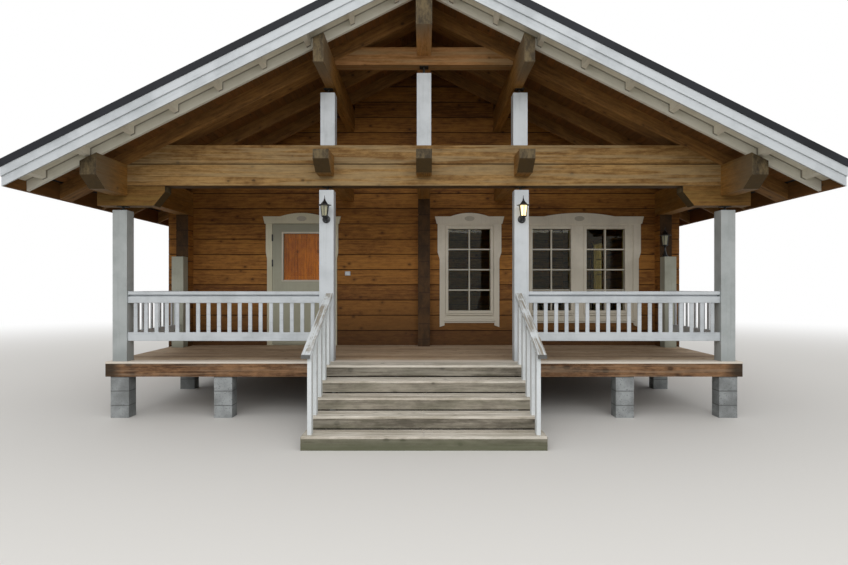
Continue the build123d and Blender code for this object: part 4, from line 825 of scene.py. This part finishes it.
# %% [markdown]
# ## Railings
# A porch railing is a cap, an apron board, a bottom rail and balusters, all with eased
# edges. The balusters could butt against the boards, but here they are let in behind their
# faces, as a joiner houses them, and a narrow fillet far back under the cap leaves a thin
# shadow line over the apron. One function makes the front panels and, turned, the side ones.

# %% Railings
CAP_DEEP = 0.095
CAP, APRON, BOTTOM_RAIL = (0, CAP_DEEP, 0.885, 0.930), (0, 0.045, 0.776, 0.862), (0, 0.045, 0.270, 0.384)
FILLET = (0.050, 0.075, 0.850, 0.887)
BALUSTER_PITCH, BALUSTER_WIDE = 0.139, 0.05
BALUSTER = (0.012, 0.032, 0.36, 0.80)


def add_rail_board(mesh, start, end, board, turn):
    """Board from start to end; board is (front, back, low, high), measured from the deck."""
    front, back, low, high = board
    add_bar(mesh, (start, front, DECK_HIGH.z + low), (end, back, DECK_HIGH.z + high), 0.003, turn)


def add_railing(mesh, start, end, turn):
    """Boards and balusters from start to end along X, from a front face at y = 0 backwards."""
    for board in (CAP, APRON, BOTTOM_RAIL, FILLET):
        add_rail_board(mesh, start, end, board, turn)
    count = int((end - start) / BALUSTER_PITCH)
    for number in range(count):
        x = (start + end) / 2 + (number - (count - 1) / 2) * BALUSTER_PITCH - BALUSTER_WIDE / 2
        add_rail_board(mesh, x, x + BALUSTER_WIDE, BALUSTER, turn)


for name in ("porch_railing_left", "porch_railing_right"):
    rail_low, rail_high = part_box(name)
    rails = bmesh.new()
    add_railing(rails, rail_low.x, rail_high.x, Matrix.Translation((0, rail_low.y, 0)))
    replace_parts(finish_piece(rails, name + "_boards", whites["x"]), name)
rail_low, rail_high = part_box("side_railings")
rails = bmesh.new()
for x in (rail_low.x + CAP_DEEP, rail_high.x):
    turn = Matrix.Translation((x, 0, 0)) @ Matrix.Rotation(math.pi / 2, 4, "Z")
    add_railing(rails, rail_low.y, rail_high.y, turn)
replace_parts(finish_piece(rails, "side_railing_boards", whites["y"]), "side_railings")

# %% [markdown]
# ## Door
# The leaf has a light bead round its glass, which holds the pane and hides its edge. It could
# be a groove in the leaf, but a real bead is a strip that is nailed on, so it is a frame of
# four bars, a little proud of the face. It rides on the door, as all pieces of the leaf do.

# %% Door bead
PANE_LOW, PANE_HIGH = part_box("door_glass")
LEAF_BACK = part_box("door_leaf")[1].y
LEAF_THICK, BEAD_WIDE, BEAD_PROUD = 0.06, 0.03, 0.01
leaf_front = LEAF_BACK - LEAF_THICK
bead = bmesh.new()
add_frame(bead, (PANE_LOW.x, PANE_LOW.z), (PANE_HIGH.x, PANE_HIGH.z), BEAD_WIDE, leaf_front - BEAD_PROUD,
          leaf_front + 0.002, 0.005)
finish_piece(bead, "door_glass_bead", trim_white, "door")

# %% [markdown]
# Behind the glass shows a varnished pine face with a frame and three raised boards. A
# textured plane would be quicker, but the boards' edges catch light through the pane.

# %% Pine face behind the glass
FRAME_WIDE, BOARD_COUNT, BOARD_SIDE_GAP, BOARD_END_GAP = 0.08, 3, 0.006, 0.012
face_y = leaf_front + 0.052
left, right = PANE_LOW.x + FRAME_WIDE, PANE_HIGH.x - FRAME_WIDE
bottom, top = PANE_LOW.z + FRAME_WIDE, PANE_HIGH.z - FRAME_WIDE
panel = bmesh.new()
add_bar(panel, (PANE_LOW.x, face_y, PANE_LOW.z), (PANE_HIGH.x, face_y + 0.007, PANE_HIGH.z), 0.001)
add_frame(panel, (left, bottom), (right, top), FRAME_WIDE, face_y - 0.008, face_y + 0.001, 0.004)
board_wide = (right - left) / BOARD_COUNT
for number in range(BOARD_COUNT):
    near = left + number * board_wide
    add_bar(panel, (near + BOARD_SIDE_GAP, face_y - 0.006, bottom + BOARD_END_GAP),
            (near + board_wide - BOARD_SIDE_GAP, face_y + 0.001, top - BOARD_END_GAP), 0.005)
finish_piece(panel, "door_pine_panel", pine, "door")

# %% [markdown]
# A lift-off hinge shows as a dark sleeve in two halves on one pin. The lower half belongs to
# the frame and the upper half turns with the leaf. One sleeve could ride on the leaf alone,
# but then its lower half would turn too, so they are two pieces on two bodies, both spun
# round the axis that the joint gives.

# %% Hinge sleeves
hinge_x, hinge_y, _ = frame["record"]["behaviour"]["joints"][0]["pos_m"]
SLEEVE_RADIUS, SLEEVE_LONG, SLEEVE_GAP, SLEEVE_EDGE = 0.0115, 0.058, 0.0006, 0.002
HINGE_HEIGHTS = (1.006, 2.149, 2.580)
narrow, short = SLEEVE_RADIUS - SLEEVE_EDGE, SLEEVE_LONG - SLEEVE_EDGE
sleeve = ((0, 0), (narrow, 0), (SLEEVE_RADIUS, SLEEVE_EDGE), (SLEEVE_RADIUS, short), (narrow, SLEEVE_LONG),
          (0, SLEEVE_LONG))
for body, drop, name in (("house", SLEEVE_LONG + SLEEVE_GAP, "hinge_sleeves_on_frame"),
                         ("door", 0, "hinge_sleeves_on_leaf")):
    sleeves = bmesh.new()
    for z in HINGE_HEIGHTS:
        add_turned(sleeves, sleeve, (hinge_x, hinge_y, z - drop), steps=16)
    finish_piece(sleeves, name, black_metal, body)

# %% [markdown]
# ## Lanterns
# A carriage lantern is a six-sided glass body that widens upwards, between a small cup and
# a broad round brim. Its roof is a hollow-sided cone with a thin finial. Each of these goes
# round one axis, so an outline that is spun makes it without a list of faces, and the glass
# and the roof are spun in six steps. Slim bars follow the corners of the glass.

# %% Parts of a lantern
CORNERS = 6
GLASS_FOOT, GLASS_SHOULDER = (0.037, 0.028), (0.055, 0.166)
CUP = ((0, -0.014), (0.012, -0.014), (0.018, -0.004), (0.014, 0.004), (0.034, 0.018), (0.042, 0.026),
       (0.042, 0.030), (0, 0.030))
BRIM = ((0, 0.163), (0.060, 0.163), (0.087, 0.168), (0.087, 0.172), (0.062, 0.178), (0, 0.178))
HOOD = ((0, 0.176), (0.060, 0.176), (0.046, 0.190), (0.030, 0.210), (0.015, 0.230), (0.009, 0.240),
        (0, 0.240))
FINIAL = ((0, 0.236), (0.009, 0.238), (0.013, 0.244), (0.008, 0.251), (0.005, 0.262), (0.003, 0.292),
          (0, 0.300))
PANES = ((0, 0.029), (GLASS_FOOT[0] - 0.004, 0.029), (GLASS_SHOULDER[0] - 0.004, 0.165), (0, 0.165))


def add_lantern(metal_mesh, glass_mesh, place, first_corner, size=1.0):
    """Cup, glass, corner bars, brim, roof and finial of one lantern."""
    place = Vector(place)
    side = Vector((math.sin(first_corner), -math.cos(first_corner), 0))
    for mesh, outline, steps in ((metal_mesh, CUP, 20), (metal_mesh, BRIM, 24), (metal_mesh, HOOD, CORNERS),
                                 (metal_mesh, FINIAL, 12), (glass_mesh, PANES, CORNERS)):
        sized = [(radius * size, up * size) for radius, up in outline]
        add_turned(mesh, sized, place, side=side, steps=steps)
    for number in range(CORNERS):
        out = Matrix.Rotation(number * 2 * math.pi / CORNERS, 3, "Z") @ side
        low, high = (place + (out * radius + Vector((0, 0, up))) * size
                     for radius, up in (GLASS_FOOT, GLASS_SHOULDER))
        aim = (high - low).to_track_quat("Z", "Y").to_matrix().to_4x4()
        add_bar(metal_mesh, (-0.004, -0.004, 0), (0.004, 0.004, (high - low).length), 0.001,
                Matrix.Translation(low) @ aim)


# %% [markdown]
# On the posts a lantern stands on an arm that runs out from a round plate and curves up
# under its cup. The arm could be a bevelled curve, but a curve would have to be made a mesh
# for the export, and a disc spun through a quarter turn gives the same bend at once.

# %% Wall bracket
ARM_BEND, ARM_RADIUS, ARM_START = 0.03, 0.009, 0.01
WALL_PLATE = ((0, 0), (0.052, 0), (0.052, 0.005), (0.043, 0.010), (0.030, 0.013), (0.016, 0.022), (0, 0.024))


def add_bracket(mesh, place, wall_y):
    """Round wall plate with an arm that runs out and curves up under the cup."""
    x, y, z = place
    out, up = (0, -1, 0), (0, 0, 1)
    arm_long = wall_y - y - ARM_BEND - ARM_START
    arm = ((0, 0), (ARM_RADIUS, 0), (ARM_RADIUS, arm_long), (0, arm_long))
    add_turned(mesh, WALL_PLATE, (x, wall_y, z), axis=out, side=up, steps=24)
    add_turned(mesh, arm, (x, wall_y - ARM_START, z - ARM_BEND), axis=out, side=up, steps=12)
    bend_start = Matrix.Translation((x, y + ARM_BEND, z - ARM_BEND)) @ Matrix.Rotation(math.pi / 2, 4, "X")
    disc = bmesh.ops.create_circle(mesh, cap_ends=True, segments=12, radius=ARM_RADIUS, matrix=bend_start)
    faces = {f for v in disc["verts"] for f in v.link_faces}
    edges = {e for v in disc["verts"] for e in v.link_edges}
    bmesh.ops.spin(mesh, geom=[*disc["verts"], *edges, *faces], cent=(x, y + ARM_BEND, z), axis=(1, 0, 0),
                   angle=-math.pi / 2, steps=8)


# %% [markdown]
# Two lanterns are fixed to the middle posts, and the right one is lit. The third is a little
# larger and stands on a flared foot on the right low post, with a flat side to the front. All
# their metal is one piece, since it is one material on one body, and the lit panes are a
# piece apart, because they glow.

# %% Three lanterns
LANTERN_Y = POST_FRONT_Y - 0.14
WALL_LANTERN_UP, LOW_LANTERN_UP, LOW_LANTERN_SIZE, LOW_LANTERN_IN = 1.886, 1.655, 1.12, 0.145
LOW_POST_LOW, LOW_POST_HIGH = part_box("low_wall_posts")
lantern_metal, plain_panes, lit_panes = bmesh.new(), bmesh.new(), bmesh.new()
for side, panes in ((-1, plain_panes), (1, lit_panes)):
    place = (side * MIDDLE_POST_X, LANTERN_Y, DECK_HIGH.z + WALL_LANTERN_UP)
    add_lantern(lantern_metal, panes, place, 0)
    add_bracket(lantern_metal, place, POST_FRONT_Y)
low_place = (LOW_POST_HIGH.x - LOW_LANTERN_IN, (LOW_POST_LOW.y + LOW_POST_HIGH.y) / 2,
             DECK_HIGH.z + LOW_LANTERN_UP)
add_lantern(lantern_metal, plain_panes, low_place, math.pi / CORNERS, LOW_LANTERN_SIZE)
post_top = LOW_POST_HIGH.z - low_place[2]
flare = ((0, 0), (0.052, 0), (0.052, 0.012), (0.034, 0.028), (0.020, 0.075), (0.013, 0.110))
add_turned(lantern_metal, (*((r, post_top + up) for r, up in flare), (0.013, -0.014), (0, -0.014)), low_place)
lanterns = finish_piece(lantern_metal, "lantern_metalwork", black_metal)
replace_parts(lanterns, "lanterns")
finish_piece(plain_panes, "lantern_panes", lantern_glass)
finish_piece(lit_panes, "lit_lantern_panes", lit_glass)

# %% [markdown]
# ## Switch box
# A small white box is fixed to the logs between the door and the window. Its lid is a second
# bar, smaller and prouder, because the step between them is what shows.

# %% Switch box on the front wall
BOX_X, BOX_Z, BOX_WIDE, BOX_TALL, BOX_DEEP = -1.300, 1.972, 0.046, 0.036, 0.032
LID_IN, LID_PROUD, LID_THICK = 0.01, 0.006, 0.008
switch_box = bmesh.new()
for inset, front, back, edge in ((0, BOX_DEEP, 0, 0.004),
                                 (LID_IN, BOX_DEEP + LID_PROUD, BOX_DEEP + LID_PROUD - LID_THICK, 0.003)):
    half_wide, half_tall = BOX_WIDE - inset, BOX_TALL - inset
    add_bar(switch_box, (BOX_X - half_wide, FRONT_WALL_Y - front, BOX_Z - half_tall),
            (BOX_X + half_wide, FRONT_WALL_Y - back, BOX_Z + half_tall), edge)
finish_piece(switch_box, "wall_switch_box", whites["z"])

# %% [markdown]
# ## Camera, floor and light
# The picture is a one-point view: the camera stands level, at eye height, in line with the
# ridge. Its lens follows from the focal length in pixels, and instead of tilting it, which
# would make the posts lean, the frame is shifted until the horizon lies on its row.

# %% Camera
PHOTO_WIDE, PHOTO_HIGH = 848, 565
FOCAL_PIXELS, HORIZON_ROW = 595, 288
CAMERA_AWAY, EYE_HEIGHT = 7.90, 1.725
camera_data = bpy.data.cameras.new("camera")
camera_data.sensor_width = 36
camera_data.lens = FOCAL_PIXELS / PHOTO_WIDE * camera_data.sensor_width
camera_data.shift_y = (HORIZON_ROW - PHOTO_HIGH / 2) / PHOTO_WIDE
camera = bpy.data.objects.new("camera", camera_data)
bpy.context.scene.collection.objects.link(camera)
camera.location = (0, POST_FRONT_Y - CAMERA_AWAY, EYE_HEIGHT)
camera.rotation_euler = (math.pi / 2, 0, 0)
bpy.context.scene.camera = camera
print("lens", round(camera_data.lens, 2), "mm at", [round(v, 3) for v in camera.location])

# %% [markdown]
# The floor is pale to the eye and fades to white far from the cabin, so that no edge shows.
# A white floor would light the porch from below, so for light on its way to a surface the
# floor is darker than it looks: the light path tells the two apart.

# %% Floor
FLOOR_RADIUS, FADE_START, FADE_END = 120, 9, 26


def seen_directly(tree):
    """1 for what the camera, a mirror or a pane shows, 0 for light on its way to a surface."""
    path = add_node(tree, "LightPath").outputs
    sharp = add_node(tree, "Math", path["Is Glossy Ray"], path["Is Transmission Ray"], operation="MAXIMUM")
    return add_node(tree, "Math", path["Is Camera Ray"], sharp, operation="MAXIMUM")


floor_mesh = bmesh.new()
bmesh.ops.create_circle(floor_mesh, cap_ends=True, segments=96, radius=FLOOR_RADIUS)
floor_data = bpy.data.meshes.new("floor")
floor_mesh.to_mesh(floor_data)
floor_mesh.free()
floor = bpy.data.objects.new("floor", floor_data)
bpy.context.scene.collection.objects.link(floor)
floor_material, tree, shader = start_material("pale_studio_floor", Roughness=0.9)
direct = seen_directly(tree)
tone = add_node(tree, "Mix", direct, "#9a978f", "#dedcd8", data_type="RGBA")
plug(tree, tone, shader.inputs["Base Color"])
away = add_node(tree, "VectorMath", add_node(tree, "TexCoord").outputs["Object"], operation="LENGTH")
fade = add_node(tree, "MapRange", away, FADE_START, FADE_END, 0, direct, interpolation_type="SMOOTHSTEP")
glow = add_node(tree, "Emission", (1, 1, 1, 1), 1.0)
plug(tree, add_node(tree, "MixShader", fade, shader, glow), tree.nodes["Material Output"].inputs["Surface"])
floor_data.materials.append(floor_material)

# %% [markdown]
# A white sky gives soft light from all sides. It is a little dimmer as a lamp than it looks,
# or the white paint would burn out. One large lamp in front, like a bright patch of cloud,
# lifts the posts and the gable from the shade of the porch.

# %% Sky and lamp
SKY_LIGHT = 0.8
LAMP_WIDE, LAMP_HIGH, LAMP_WATTS = 14, 6, 800
LAMP_PLACE, LAMP_AIM = Vector((0, -17, 7)), Vector((0, -3, 1.8))
world = bpy.data.worlds.new("studio")
world.use_nodes = True
bpy.context.scene.world = world
sky = world.node_tree
background = sky.nodes["Background"]
plug(sky, (1, 1, 1, 1), background.inputs["Color"])
strength = add_node(sky, "Math", seen_directly(sky), 1 - SKY_LIGHT, SKY_LIGHT, operation="MULTIPLY_ADD")
plug(sky, strength, background.inputs["Strength"])
lamp_data = bpy.data.lights.new("front_softbox", "AREA")
lamp_data.shape = "RECTANGLE"
lamp_data.size = LAMP_WIDE
lamp_data.size_y = LAMP_HIGH
lamp_data.energy = LAMP_WATTS
lamp = bpy.data.objects.new("front_softbox", lamp_data)
bpy.context.scene.collection.objects.link(lamp)
lamp.location = LAMP_PLACE
lamp.rotation_euler = (LAMP_AIM - LAMP_PLACE).to_track_quat("-Z", "Y").to_euler()
bpy.context.scene.view_settings.view_transform = "Standard"
print("lamp", LAMP_WIDE, "by", LAMP_HIGH, "m,", LAMP_WATTS, "W")
